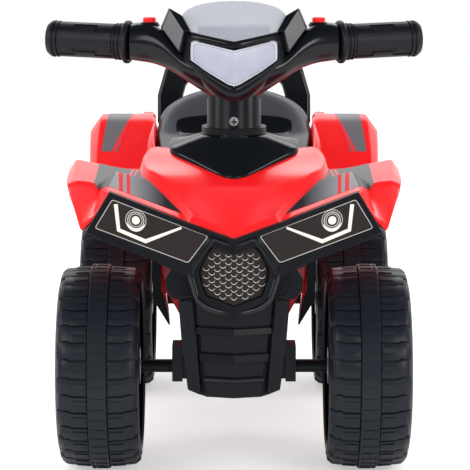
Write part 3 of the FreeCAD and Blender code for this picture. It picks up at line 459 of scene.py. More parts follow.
def packed_copy(name):
    """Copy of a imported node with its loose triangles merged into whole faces."""
    bm = bmesh.new()
    bm.from_mesh(frame["nodes"][name].data)
    bmesh.ops.remove_doubles(bm, verts=bm.verts, dist=0.005 * MM)
    bmesh.ops.dissolve_limit(bm, angle_limit=math.radians(0.8), verts=bm.verts, edges=bm.edges)
    return bm


# Finish, body and slot that many pieces share
RED_SHELL = ("red polypropylene", "chassis", "red_gloss")
BLACK_SHELL = ("black polypropylene", "chassis", "black_gloss")
BAR_SHELL = ("black polypropylene", "steering", "black_gloss")
# Largest angle between faces that stay smooth on a piece with rounded edges
ROUNDED_SHARP_DEG = 22
# Height of a film over its shell
FILM_LIFT = 0.25


def dress(bm, name, finish, body, slot, nodes=(), wall=0.0, edge=0.0, levels=0, sharp_deg=40):
    """Object of a finished bmesh with its finish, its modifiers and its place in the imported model."""
    mesh = bpy.data.meshes.new(name)
    bm.to_mesh(mesh)
    bm.free()
    mesh.shade_smooth()
    piece = bpy.data.objects.new(name, mesh)
    bpy.context.collection.objects.link(piece)
    piece.data.materials.append(look(finish))
    if wall:
        shell = piece.modifiers.new("wall", "SOLIDIFY")
        shell.thickness = wall
        shell.offset = -1.0
        shell.use_even_offset = False
        shell.edge_crease_rim = 0.4
    if edge:
        rounding = piece.modifiers.new("rounded edges", "BEVEL")
        rounding.width = edge
        rounding.segments = 3
        rounding.limit_method = "ANGLE"
        rounding.angle_limit = math.radians(sharp_deg)
        rounding.harden_normals = True
    if levels:
        smooth = piece.modifiers.new("smooth", "SUBSURF")
        smooth.levels = levels
        smooth.render_levels = levels
    else:
        limit_deg = min(sharp_deg, ROUNDED_SHARP_DEG) if edge else sharp_deg
        mesh.set_sharp_from_angle(angle=math.radians(limit_deg))
    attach(piece, body)
    if nodes:
        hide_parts(*nodes)
    return piece


def film_on(piece, index, name, finish):
    """Thin film over the faces of a finished shell that carry a material number."""
    graph = bpy.context.evaluated_depsgraph_get()
    bm = bmesh.new()
    bm.from_mesh(piece.evaluated_get(graph).data)
    away = [face for face in bm.faces if face.material_index != index]
    bmesh.ops.delete(bm, geom=away, context="FACES")
    bm.normal_update()
    for vert in bm.verts:
        vert.co += vert.normal * FILM_LIFT * MM
    for face in bm.faces:
        face.material_index = 0
    dress(bm, name, finish, "chassis", "headlight_print")


# Camera of the photograph: image width, focal length and sideways shift in pixels, then the height it looks
# at and its distance in metres
IMAGE = 470.0
FOCAL = 2285.0
SHIFT = 1.0
TARGET_Z = 0.1996
DISTANCE = 2.39
ELEVATION = math.radians(9.45)
# Softboxes: place and size in metres, and power in watts
SOFTBOXES = (
    ("front left softbox", (-1.5, -2.1, 1.5), (1.1, 1.1), 14),
    ("front right softbox", (1.3, -2.2, 1.15), (0.8, 0.8), 13),
    ("rear strip", (0, 1.8, 1.8), (2.6, 0.9), 15),
    ("left side softbox", (-1.9, -0.4, 1.0), (0.5, 0.5), 6),
    ("right side softbox", (1.9, -0.4, 1.0), (0.5, 0.5), 6),
)
# Point that the softboxes face
LIT_MIDDLE = Vector((0, 0, 0.2))
# Room that the gloss mirrors, by direction: dim at the ceiling and in front, bright at the backdrop
CEILING = {"From Min": 0.35, "From Max": 0.85, "To Min": 1.0, "To Max": 0.1}
ROOM = {"From Min": 0.1, "From Max": 0.7, "To Min": 0.25, "To Max": 1.0}
# Strength of the light on matt surfaces, then half width and glow of the floor
EVEN_LIGHT = 0.78
FLOOR_HALF = 4.0
FLOOR_GLOW = 0.45


class QUAD_OT_stage(bpy.types.Operator):
    """Pale floor, soft studio light and the camera"""

    bl_idname = "quad.stage"
    bl_label = "Stage"

    def execute(self, context):
        scene = context.scene
        scene.view_settings.view_transform = "Standard"
        scene.world = self.studio()
        floor = self.floor()
        context.collection.objects.link(floor)
        for name, place, size, power in SOFTBOXES:
            lamp = bpy.data.lights.new(name, "AREA")
            lamp.shape = "RECTANGLE"
            lamp.size, lamp.size_y = size
            lamp.energy = power
            light = bpy.data.objects.new(name, lamp)
            light.location = place
            light.rotation_euler = (LIT_MIDDLE - light.location).to_track_quat("-Z", "Y").to_euler()
            context.collection.objects.link(light)
        lens = bpy.data.cameras.new("photo camera")
        lens.sensor_width = 36.0
        lens.lens = FOCAL / IMAGE * lens.sensor_width
        lens.shift_x = SHIFT / IMAGE
        camera = bpy.data.objects.new("photo camera", lens)
        away = Vector((0, -math.cos(ELEVATION), math.sin(ELEVATION)))
        camera.location = Vector((0, 0, TARGET_Z)) + away * DISTANCE
        camera.rotation_euler = (-away).to_track_quat("-Z", "Y").to_euler()
        context.collection.objects.link(camera)
        scene.camera = camera
        return {"FINISHED"}

    def studio(self):
        """World with a white backdrop, a dim ceiling and a dim room; matt surfaces get an even light."""
        world = bpy.data.worlds.new("studio")
        world.use_nodes = True
        tree = world.node_tree
        tree.nodes.clear()
        path = add_node(tree, "ShaderNodeLightPath").outputs
        straight = add_node(
            tree, "ShaderNodeMath", {0: path["Is Camera Ray"], 1: path["Is Transmission Ray"]},
            operation="MAXIMUM",
        ).outputs[0]
        seen = add_node(tree, "ShaderNodeMath", {0: straight, 1: path["Is Glossy Ray"]}, operation="MAXIMUM")
        way = add_node(tree, "ShaderNodeTexCoord").outputs["Generated"]
        axes = add_node(tree, "ShaderNodeSeparateXYZ", {"Vector": way}).outputs
        ceiling = add_node(tree, "ShaderNodeMapRange", {"Value": axes["Z"], **CEILING}).outputs["Result"]
        room = add_node(tree, "ShaderNodeMapRange", {"Value": axes["Y"], **ROOM}).outputs["Result"]
        dim = add_node(tree, "ShaderNodeMath", {0: ceiling, 1: room}, operation="MULTIPLY").outputs[0]
        level = add_node(tree, "ShaderNodeMath", {0: dim, 1: straight}, operation="MAXIMUM").outputs[0]
        even = add_node(tree, "ShaderNodeBackground", {"Color": (1, 1, 1, 1), "Strength": EVEN_LIGHT})
        backdrop = add_node(tree, "ShaderNodeBackground", {"Color": (1, 1, 1, 1), "Strength": level})
        mix = add_node(
            tree, "ShaderNodeMixShader", {0: seen.outputs[0], 1: even.outputs[0], 2: backdrop.outputs[0]}
        )
        add_node(tree, "ShaderNodeOutputWorld", {"Surface": mix.outputs[0]})
        return world

    def floor(self):
        """Pale floor that keeps the shadow and runs into the backdrop."""
        bm = bmesh.new()
        bmesh.ops.create_grid(bm, x_segments=1, y_segments=1, size=FLOOR_HALF)
        mesh = bpy.data.meshes.new("floor")
        bm.to_mesh(mesh)
        bm.free()
        material, tree, _ = new_material("white paper sweep")
        path = add_node(tree, "ShaderNodeLightPath").outputs
        shade = add_node(tree, "ShaderNodeBsdfDiffuse", {"Color": linear("#F4F4F4")})
        glow = add_node(tree, "ShaderNodeEmission", {"Color": (1, 1, 1, 1), "Strength": FLOOR_GLOW})
        lit = add_node(tree, "ShaderNodeAddShader", {0: shade.outputs[0], 1: glow.outputs[0]})
        mix = add_node(
            tree, "ShaderNodeMixShader", {0: path["Is Camera Ray"], 1: shade.outputs[0], 2: lit.outputs[0]}
        )
        add_node(tree, "ShaderNodeOutputMaterial", {"Surface": mix.outputs[0]})
        mesh.materials.append(material)
        return bpy.data.objects.new("floor", mesh)


class QUAD_OT_finishes(bpy.types.Operator):
    """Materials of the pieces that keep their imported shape"""

    bl_idname = "quad.finishes"
    bl_label = "Finishes"

    def execute(self, context):
        for row in frame["record"]["subparts"]:
            node = frame["nodes"][row["node"]]
            node.data.materials.clear()
            node.data.materials.append(look(SLOT_LOOKS[row["material_slot"]]))
        return {"FINISHED"}


# Front cowl: each section lies in a plane that is swept back from the middle and leans back towards the top.
LEAN = 0.12
LEAN_Z = 245.0
# Hood rows: place of the middle, sweep, then (x, z) of the middle, flank, upper edge and foot of the side
HOOD = (
    (-282, 0.44, (0, 242), (26, 250.8), (41, 255.6), (53, 252)),
    (-270, 0.32, (0, 247.6), (24.2, 255.8), (38, 260.2), (54, 252)),
    (-235, 0.11, (0, 263.6), (25.5, 266.2), (48.5, 268.5), (63, 257)),
    (-200, -0.11, (0, 280), (30, 279), (60, 277.8), (76, 264)),
    (-183, 0.07, (0, 284.4), (39, 287), (79, 290.4), (92, 276)),
    (-166, 0.11, (0, 290.2), (44, 292.6), (87.5, 293), (95, 279)),
    (-148, 0.14, (0, 294.5), (45, 299), (90, 299), (95.5, 280)),
    (-128, 0.14, (0, 299.4), (45.6, 304), (85.5, 306), (94.5, 280)),
    (-106, 0.11, (0, 303), (42, 305.5), (74, 308), (92, 278)),
)
HOOD_TAIL = (-62, 0.05, (0, 262), (50, 262), (70, 262), (79, 255))
# Creases across the hood: number of the row, how many points from the middle, and sharpness; then those along
HOOD_CREASES = ((0, 4, 0.8), (1, 3, 0.75), (3, 3, 0.85))
HOOD_EDGE_CREASE = 0.8
HOOD_NOSE_CREASE = 0.9
# Opening under the dash plate: half width, and its front and back
HOOD_HOLE = (60, -150, -70)
# Fender rows: as above for the pod's inner and outer edge, then the fender's inner edge, film edge, corner,
# side and lip
FENDER = (
    (-281, 0.44, (42, 256), (117.6, 279.6), (126.6, 263.6), (134.4, 250.8),
     (143.2, 241.7), (146.4, 242), (144, 239)),
    (-268, 0.44, (46, 259.5), (120.4, 281.8), (129.6, 277), (129.9, 284),
     (150.7, 284.5), (160, 281), (156, 264)),
    (-232, 0.43, (82, 285.5), (113.9, 291.8), (122, 284.5), (130, 287.4),
     (153.6, 289.6), (163.2, 280), (160, 260)),
    (-229, 0.43, (84, 280), (113, 283.5), (122, 285), (130.1, 287.7),
     (153.8, 289.9), (163.2, 280.2), (160, 260)),
    (-176, 0.40, (85, 286.5), (108, 287.3), (121, 288.9), (130, 290.6),
     (156.5, 294.4), (163.6, 284), (161.5, 260)),
    (-138, 0.37, (86, 284), (108, 283), (121, 283), (131, 284), (153, 285), (160, 277), (158, 258)),
    (-108, 0.33, (86, 281), (106, 273), (121, 271), (130, 271.5), (148, 271), (153, 266), (152, 256)),
)
# The pod's inner edge runs on down under the hood by this much
POD_TUCK = (-9, -15)
# Sharpness of the creases along, then those across: number of the row, first point, the one after the last
# and sharpness
FENDER_CREASES = {1: 0.9, 2: 0.9, 3: 0.7, 5: 0.85, 6: 0.7}
FENDER_ROW_CREASES = ((0, 0, 8, 0.85), (1, 1, 7, 0.85), (2, 1, 4, 0.95), (3, 1, 3, 0.9), (4, 1, 7, 0.5))
# Faces under the films: number of the row and of the line
POD_CELLS = ((1, 1),)
FENDER_CELLS = ((1, 2), (1, 3), (2, 2), (2, 3), (3, 1), (3, 2), (3, 3))
# Arch walls: height of the foot in each row, its x, shift of the top from the pod's inner edge, bow and wall
ARCH_FOOT = (214, 210, 208, 206, 206, 206)
ARCH_FOOT_X = 46.0
ARCH_TOP = (1, -3.5)
ARCH_BOW = 6.0
ARCH_WALL = 2.5


def nose_point(x, z, middle_y, sweep):
    """Point of a swept and leaning nose section."""
    return x, middle_y + sweep * abs(x) + LEAN * (z - LEAN_Z), z


def nose_row(bm, row):
    """Vertices of one section of the nose."""
    middle_y, sweep, *points = row
    return chain(bm, [nose_point(x, z, middle_y, sweep) for x, z in points])


def mark_cells(rows, cells, number):
    """Give the faces between neighbouring rows and lines a material number."""
    for r, line in cells:
        corner = {rows[r][line], rows[r][line + 1], rows[r + 1][line], rows[r + 1][line + 1]}
        for face in rows[r][line].link_faces:
            if set(face.verts) == corner:
                face.material_index = number


class QUAD_OT_cowl(bpy.types.Operator):
    """Red hood with pods and front fenders, and the film on them"""

    bl_idname = "quad.cowl"
    bl_label = "Front cowl"

    def execute(self, context):
        wall = context.scene.quad_sizes.wall
        bm = bmesh.new()
        rows = [nose_row(bm, row) for row in HOOD + (HOOD_TAIL,)]
        loft(bm, rows)
        crease(bm, [row[2] for row in rows[:-1]], HOOD_EDGE_CREASE)
        crease(bm, [row[0] for row in rows[:2]], HOOD_NOSE_CREASE)
        for row, count, share in HOOD_CREASES:
            crease(bm, rows[row][:count], share)
        width, front, back = [edge * MM for edge in HOOD_HOLE]
        hole = [f for f in bm.faces if all(v.co.x < width and front < v.co.y < back for v in f.verts)]
        bmesh.ops.delete(bm, geom=hole, context="FACES")
        both_halves(bm, (0, 0, 1))
        dress(bm, "red_hood", *RED_SHELL, ("front_cowl",), wall=wall, levels=3)
        self.fenders(wall)
        self.arch_walls()
        return {"FINISHED"}

    def arch_walls(self):
        """Inner walls of the front arches, under the pods."""
        bm = bmesh.new()
        walls = []
        for (y, sweep, (x, z), *_), foot in zip(FENDER[1:], ARCH_FOOT):
            top = nose_point(x + ARCH_TOP[0], z + ARCH_TOP[1], y, sweep)
            middle = nose_point((x + ARCH_FOOT_X) / 2 + ARCH_BOW, (z + foot) / 2, y, sweep)
            walls.append(chain(bm, [top, middle, nose_point(ARCH_FOOT_X, foot, y, sweep)]))
        loft(bm, walls)
        both_halves(bm)
        dress(bm, "red_arch_walls", *RED_SHELL, ("front_cowl",), wall=ARCH_WALL * MM, levels=1)

    def fenders(self, wall):
        """Pods and fenders beside the hood, with their films."""
        bm = bmesh.new()
        rows = []
        for middle_y, sweep, inner, *points in FENDER:
            tuck = (inner[0] + POD_TUCK[0], inner[1] + POD_TUCK[1])
            rows.append(nose_row(bm, (middle_y, sweep, tuck, inner, *points)))
        loft(bm, rows)
        for line, share in FENDER_CREASES.items():
            crease(bm, [row[line] for row in rows], share)
        for row, first, last, share in FENDER_ROW_CREASES:
            crease(bm, rows[row][first:last], share)
        mark_cells(rows, POD_CELLS, 1)
        mark_cells(rows, FENDER_CELLS, 2)
        both_halves(bm, (0, 0, 1))
        fenders = dress(bm, "red_front_fenders", *RED_SHELL, ("front_cowl",), wall=wall, levels=3)
        fenders.data.materials.append(look("red polypropylene"))
        fenders.data.materials.append(look("red polypropylene"))
        film_on(fenders, 1, "pod_films", "pod film with painted reflection")
        film_on(fenders, 2, "fender_films", "fender film")


# Rear body rows: y, deck height, deck edge x, then rim top, rim outer edge, side and skirt edge as (x, z)
BODY = (
    (-54, 246, 66, (70, 257), (79, 253), (81, 206.4), (79, 206.2)),
    (-39, 246, 67, (71, 258), (81, 254), (81.5, 206.4), (79.5, 206.2)),
    (-38, 246, 67, (71, 258), (81, 254), (83.5, 141), (67, 112)),
    (-18, 246, 69, (73, 259), (83, 255), (84, 142), (67.5, 113)),
    (40, 246, 75, (79, 264), (89, 261), (84, 150), (72, 122)),
    (80, 246, 82, (86, 285), (98, 280), (84, 167), (79.5, 149)),
    (115, 246, 84, (86.5, 299), (92, 297), (84, 176), (79.8, 162)),
    (140, 246, 84, (86, 306), (87, 304), (84, 178), (79.8, 165)),
    (188, 246, 86, (89, 309), (104, 308), (84, 180), (79.8, 168)),
    (194, 287, 88, (91, 304), (105, 307), (84, 180), (79.8, 168)),
    (250, 284, 88, (91, 293), (103, 295), (84, 184), (79.8, 173)),
    (300, 256, 78, (82, 262), (94, 260), (84, 190), (79.8, 180)),
)
# Sharpness of the creases along, rows where the body has a step, and the middle of the tail's lower edge
BODY_CREASES = {1: 0.7, 2: 0.5, 3: 0.5, 4: 0.6}
BODY_STEPS = (2, 8, 9)
BODY_STEP_CREASE = 0.8
TAIL_FLOOR = (0, 300, 180)
TAIL_CREASE = 0.85
# Rear fender rows: y, then (x, z) from the body's rim to the lip, with the film edges between
REAR_FENDER = (
    (50, (80, 234), (112, 239), (136, 239), (145, 239), (146, 239), (151, 229), (149, 217)),
    (90, (84, 275.5), (112, 276), (127, 276), (147.3, 276.5), (148.5, 276), (156.5, 262), (155, 240)),
    (140, (84.5, 309.4), (101, 309.6), (106, 309.4), (144.3, 310), (145.6, 309.7), (158, 293), (155.5, 262)),
    (200, (90, 308.6), (104, 308), (108, 307), (142, 307), (144, 306.7), (156.5, 290), (154, 260)),
    (262, (90, 280), (110, 286), (113, 286), (132, 285), (136, 285), (146.5, 270), (145, 252)),
    (292, (85, 256), (106, 259), (110, 259), (124, 258), (126, 258), (134, 248), (133, 238)),
)
# Sharpness of the creases along, the row with one across, and the faces under the film
REAR_CREASES = {4: 0.85, 5: 0.8}
REAR_TOP_ROW = 2
REAR_TOP_CREASE = 0.6
REAR_CELLS = ((1, 2), (2, 2), (3, 2))
# Gussets under the front of the body: half outline as (x, z), then their front and thickness
GUSSET = ((36.5, 118), (55, 118), (66.5, 139.5), (78, 150), (81, 150), (81, 205), (36.5, 205))
GUSSET_Y = -30
GUSSET_T = 3


class QUAD_OT_rear_body(bpy.types.Operator):
    """Red body under the seat with skirts, tail panel and rear fenders, and the film on them"""

    bl_idname = "quad.rear_body"
    bl_label = "Rear body"

    def execute(self, context):
        wall = context.scene.quad_sizes.wall
        bm = bmesh.new()
        rows = []
        for y, deck, edge, *points in BODY:
            rows.append(chain(bm, [(x, y, z) for x, z in [(0, deck), (edge, deck), *points]]))
        loft(bm, rows)
        for line, share in BODY_CREASES.items():
            crease(bm, [row[line] for row in rows], share)
        for row in BODY_STEPS:
            crease(bm, rows[row], BODY_STEP_CREASE)
        tail = rows[-1] + [bm.verts.new(Vector(TAIL_FLOOR) * MM)]
        bm.faces.new(tail)
        crease(bm, tail, TAIL_CREASE)
        both_halves(bm, (0, 0, 1))
        dress(bm, "red_rear_body", *RED_SHELL, ("rear_body",), wall=wall, levels=2)
        self.fenders(wall)
        bm = bmesh.new()
        slab(bm, [(x, GUSSET_Y, z) for x, z in GUSSET], (0, GUSSET_T, 0))
        both_halves(bm)
        dress(bm, "red_gussets", *RED_SHELL, ("rear_body",), edge=0.8 * MM)
        return {"FINISHED"}

    def fenders(self, wall):
        """Rear fenders with their films."""
        bm = bmesh.new()
        rows = [chain(bm, [(x, y, z) for x, z in points]) for y, *points in REAR_FENDER]
        loft(bm, rows)
        for line, share in REAR_CREASES.items():
            crease(bm, [row[line] for row in rows], share)
        crease(bm, rows[REAR_TOP_ROW], REAR_TOP_CREASE)
        mark_cells(rows, REAR_CELLS, 1)
        both_halves(bm, (0, 0, 1))
        fenders = dress(bm, "red_rear_fenders", *RED_SHELL, ("rear_body",), wall=wall, levels=2)
        fenders.data.materials.append(look("red polypropylene"))
        film_on(fenders, 1, "rear_fender_films", "rear fender film with painted sheen")


# Packed mouldings that only get rounded edges: body, finish, slot and share of the usual radius
PACKED_MOULDINGS = {
    "front_fascia": ("chassis", "dull polypropylene", "black_gloss", 1.4),
    "steering_neck": ("steering", "dull polypropylene", "black_gloss", 0.8),
    "console": ("steering", "black polypropylene", "black_gloss", 3.0),
    "front_axle_carrier": ("steering", "grained polypropylene", "black_matte", 1.0),
}
# Cross in the neck screw, dark bars that paint the shade in its cross recess: its bars, how far it stands out
# and lies below the screw's top, and its lean
CROSS_BARS = ((6.0, 1.0, 1.3), (1.3, 1.0, 6.0))
CROSS_OUT = 0.2
CROSS_BELOW = 4.4
NECK_LEAN = math.radians(-18)


class QUAD_OT_black_mouldings(bpy.types.Operator):
    """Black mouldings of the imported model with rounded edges: fascia, neck, console and axle carrier"""

    bl_idname = "quad.black_mouldings"
    bl_label = "Black mouldings"

    def execute(self, context):
        edge = context.scene.quad_sizes.edge
        for name, (body, finish, slot, share) in PACKED_MOULDINGS.items():
            bm = packed_copy(name)
            dress(bm, f"black_{name}", finish, body, slot, (name,), edge=edge * share)
        # Painted shade: dark bars before the screw's head stand for the shade in its cross recess
        low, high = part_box("neck_screw")
        place = shifted(0, low.y / MM - CROSS_OUT, high.z / MM - CROSS_BELOW)
        bm = bmesh.new()
        for size in CROSS_BARS:
            block(bm, size, place @ Matrix.Rotation(NECK_LEAN, 4, "X"))
        dress(bm, "neck_screw_cross_shade", "speaker black and painted shade", "steering", "black_gloss")
        return {"FINISHED"}


# Dash plate: y of the steering collar, angles from the front round it, then the rings there as radius and
# height in front, beside and behind, and the plate's edge with the number of its corner
COLLAR_Y = -106.2
DASH_TURNS = (0, 20, 39, 55, 70, 95, 125, 155, 180)
DASH_THROAT = (
    (15.5, 309.0, 310.0, 308.0),
    (34.4, 310.0, 311.0, 309.0),
    (34.4, 318.6, 319.6, 315.2),
    (35.6, 319.8, 321.0, 316.2),
)
DASH_EDGE = (
    (0, -189.5, 283.5), (25, -163, 292.7), (50, -136.5, 302), (60, -126.5, 304.6), (63.6, -117.5, 307),
    (63.8, -100, 310.2), (63.2, -82, 313.3), (32, -80.5, 316.2), (0, -80.5, 316.4),
)
DASH_CORNER = 2
# Rim under the edge: its spread, and how far it lies forward and down
DASH_RIM_SPREAD = 1.006
DASH_RIM_FORWARD = 0.6
DASH_RIM_DROP = 4.5
DASH_EDGE_CREASE = 0.85
DASH_CORNER_CREASE = 0.8
DASH_TOP_CREASE = 0.4


class QUAD_OT_dash(bpy.types.Operator):
    """Black dash plate that rises to the steering collar"""

    bl_idname = "quad.dash"
    bl_label = "Dash plate"

    def execute(self, context):
        bm = bmesh.new()
        rings = []
        for radius, front_z, side_z, back_z in DASH_THROAT:
            points = []
            for turn in DASH_TURNS:
                across, ahead = math.sin(math.radians(turn)), math.cos(math.radians(turn))
                z = side_z + ((front_z if ahead > 0 else back_z) - side_z) * abs(ahead)
                points.append((radius * across, COLLAR_Y - radius * ahead, z))
            rings.append(chain(bm, points))
        rings.append(chain(bm, DASH_EDGE))
        rim = [(x * DASH_RIM_SPREAD, y - DASH_RIM_FORWARD, z - DASH_RIM_DROP) for x, y, z in DASH_EDGE]
        rings.append(chain(bm, rim))
        loft(bm, rings)
        top, edge = rings[-3:-1]
        crease(bm, edge, DASH_EDGE_CREASE)
        crease(bm, (top[DASH_CORNER], edge[DASH_CORNER]), DASH_CORNER_CREASE)
        crease(bm, top, DASH_TOP_CREASE)
        both_halves(bm, (0, 0, 1))
        dress(bm, "black_dash_plate", *BLACK_SHELL, ("dash_plate",), levels=3)
        return {"FINISHED"}


# Skid plate: half outlines as (x, z); strips as lower edge, upper edge, half width below and above
SKID_Y = -276.0
SKID_SWEEP = 0.25
SKID_OUTLINE = ((0, 186), (50, 186), (52, 181), (48.7, 138.7), (43.2, 97.5), (29, 91), (0, 90.4))
SKID_RAIL = ((38, 184), (52, 181), (48.7, 138.7), (43.2, 97.5), (31, 93), (34.5, 138.7))
SKID_CAP = ((38.6, 182), (44, 182), (42.6, 151.5), (36.8, 151.5))
SKID_PANELS = (
    (158.9, 185, 37, 39), (133.7, 150.6, 31, 32), (110.6, 124.8, 27.8, 28.8), (90.6, 105.9, 27, 27.4),
)
SKID_LEDGES = ((150.5, 157.2, 35.6, 36.6), (124.7, 132.3, 32.2, 33.4), (105.8, 109.3, 28.4, 29.2))
# How far each outline lies before the plate's face, for a strip below and above, and its thickness
SKID_LAYERS = ((SKID_OUTLINE, -1.6, 3.4), (SKID_RAIL, 5, 6), (SKID_CAP, 6.4, 2))
SKID_STRIPS = ((SKID_PANELS, 0.4, 0.4, 3), (SKID_LEDGES, 3.4, 1.8, 4.5))


def skid_point(x, z, forward):
    """Point of a plane a little in front of the skid plate's face."""
    return x, SKID_Y + SKID_SWEEP * abs(x) - forward, z


class QUAD_OT_skid_plate(bpy.types.Operator):
    """Black skid plate with side rails, recessed panels and ledges"""

    bl_idname = "quad.skid_plate"
    bl_label = "Skid plate"

    def execute(self, context):
        bm = bmesh.new()
        for outline, forward, thickness in SKID_LAYERS:
            slab(bm, [skid_point(x, z, forward) for x, z in outline], (0, thickness, 0))
        for strips, forward_low, forward_high, thickness in SKID_STRIPS:
            for low, high, below, above in strips:
                lower = [skid_point(x, low, forward_low) for x in (0, below)]
                upper = [skid_point(x, high, forward_high) for x in (above, 0)]
                slab(bm, lower + upper, (0, thickness, 0))
        open_middle(bm)
        both_halves(bm)
        dress(bm, "black_skid_plate", "dull polypropylene", "chassis", "black_gloss", ("skid_plate",),
              edge=0.7 * MM)
        return {"FINISHED"}


# Printed fascia: outlines as (x, z) in the plane of the fascia; the panels lie a little behind its front
FASCIA_Y = -290.88
FASCIA_SWEEP = 0.44
PANEL_FRONT = 0.8
# Silver border of a panel with its corner radius and width, then the lamp with its rings as radius and width
PANEL_LINE = ((114.3, 272.6), (131.0, 245.1), (42.5, 219.2), (23.9, 244.9))
PANEL_ROUND = 2.5
PANEL_LINE_WIDTH = 0.65
LINE_LIFT = -PANEL_FRONT + 0.15
LAMP = (91.8, 254.9)
LAMP_RINGS = ((6.0, 0.7), (7.7, 0.9), (9.8, 0.6))
LAMP_R = 3.9
LAMP_STEPS = 24
LAMP_LIFT = -PANEL_FRONT + 0.3
LIGHT_BAR = ((110.9, 268.6), (108.2, 244.8), (82.4, 236.1), (48.7, 251.0))
LIGHT_BAR_WIDTHS = (3.8, 3.4, 3.6, 2.0)
# Crescent under the lamp: radius, angles from straight down, and width at the ends and gained in the middle
CRESCENT_R = 9.0
CRESCENT_DEG = (-70, 75)
CRESCENT_STEPS = 12
CRESCENT_WIDTH = (0.4, 2.6)
# Rings of the grille's raised edge: how far each lies before the fascia, then its outline
GRILLE_RINGS = (
    (0.2, ((0, 239.5), (22, 246.5), (33, 232), (42.5, 211), (42.5, 205), (36, 184.5), (27, 177), (0, 170.2))),
    (2.4, ((0, 236.5), (18.5, 243), (27, 229.5), (38.8, 211), (38.8, 205.5), (33, 186.5), (25, 180),
           (0, 173.6))),
    (-6.6, ((0, 229), (15.5, 235.5), (21.5, 229.5), (31.6, 212.5), (31.6, 206.5), (27, 190.5), (22, 187.5),
            (0, 182))),
)
GRILLE_CREST_CREASE = 0.7
GRILLE_CORNER_CREASE = 0.5
# Lines that bound the arcs: height in the middle and slope below and above, then x, slope and height beside
GRILLE_FLOOR = (184, 0.25)
GRILLE_TOP = (225, 0.371)
GRILLE_SHOULDER = (19.7, 0.594, 226.7)
GRILLE_FLANK = (29.8, 0.34, 203.7)
# Small arcs of the grille: rows, columns, lift before the fascia, pitch, top row, half angle, radius and the
# widths along each
ARC_ROWS = 13
ARC_COLUMNS = 4
ARC_LIFT = -4.4
ARC_PITCH = (10.3, 3.55)
ARC_TOP = 230.3
ARC_DEG = 74
ARC_R = 3.05
ARC_WIDTHS = (0.3, 0.45, 0.6, 0.65, 0.6, 0.45, 0.3)


def fascia_plane(lift):
    """Matrix that lays an outline drawn in x and z on the left half of the fascia, a lift before it."""
    y = (FASCIA_Y - lift - LEAN * LEAN_Z) * MM
    return Matrix(((1, 0, 0, 0), (FASCIA_SWEEP, 1, LEAN, y), (0, 0, 1, 0), (0, 0, 0, 1)))


# Sharp corners of a ribbon are cut off at this share
MITRE_LIMIT = 0.4


def ribbon(bm, points, widths, closed=False):
    """Flat line through (x, z) points in millimetres, with a width at each point."""
    flat = [Vector(point) for point in points]
    count = len(flat)
    sides = ([], [])
    for i, point in enumerate(flat):
        before = flat[i - 1] if i or closed else None
        after = flat[(i + 1) % count] if i < count - 1 or closed else None
        spans = ((before, point), (point, after))
        ways = [(end - start).normalized() for start, end in spans if start and end]
        across = sum(ways, Vector((0, 0))).normalized().orthogonal()
        reach = widths[i] / 2 / max(MITRE_LIMIT, across.dot(ways[0].orthogonal()))
        for side, sign in zip(sides, (1, -1)):
            x, z = point + across * reach * sign
            side.append((x, 0, z))
    chains = [chain(bm, side) for side in sides]
    if closed:
        for line in chains:
            bm.edges.new((line[-1], line[0]))
            line.append(line[0])
    loft(bm, chains)


def rounded(points, radius, steps=4):
    """Closed outline with its corners rounded, from the corner points."""
    flat = [Vector(point) for point in points]
    outline = []
    for i, corner in enumerate(flat):
        start = corner + (flat[i - 1] - corner).normalized() * radius
        end = corner + (flat[(i + 1) % len(flat)] - corner).normalized() * radius
        for step in range(steps + 1):
            t = step / steps
            outline.append(start * (1 - t) ** 2 + corner * 2 * t * (1 - t) + end * t * t)
    return outline


def arc(centre, radius, start_deg, end_deg, steps):
    """Points (x, z) along a round stretch, its angles counted from straight down."""
    turns = [math.radians(start_deg + (end_deg - start_deg) * i / steps) for i in range(steps + 1)]
    return [(centre[0] + radius * math.sin(t), centre[1] - radius * math.cos(t)) for t in turns]


def in_grille(x, z):
    """Tell whether a point lies inside the lines that bound the arcs."""
    (low, low_slope), (high, high_slope) = GRILLE_FLOOR, GRILLE_TOP
    shoulder, shoulder_slope, shoulder_z = GRILLE_SHOULDER
    flank, flank_slope, flank_z = GRILLE_FLANK
    beside = min(shoulder + shoulder_slope * (shoulder_z - z), flank - flank_slope * max(0, flank_z - z))
    return low + low_slope * x < z < high + high_slope * x and x < beside


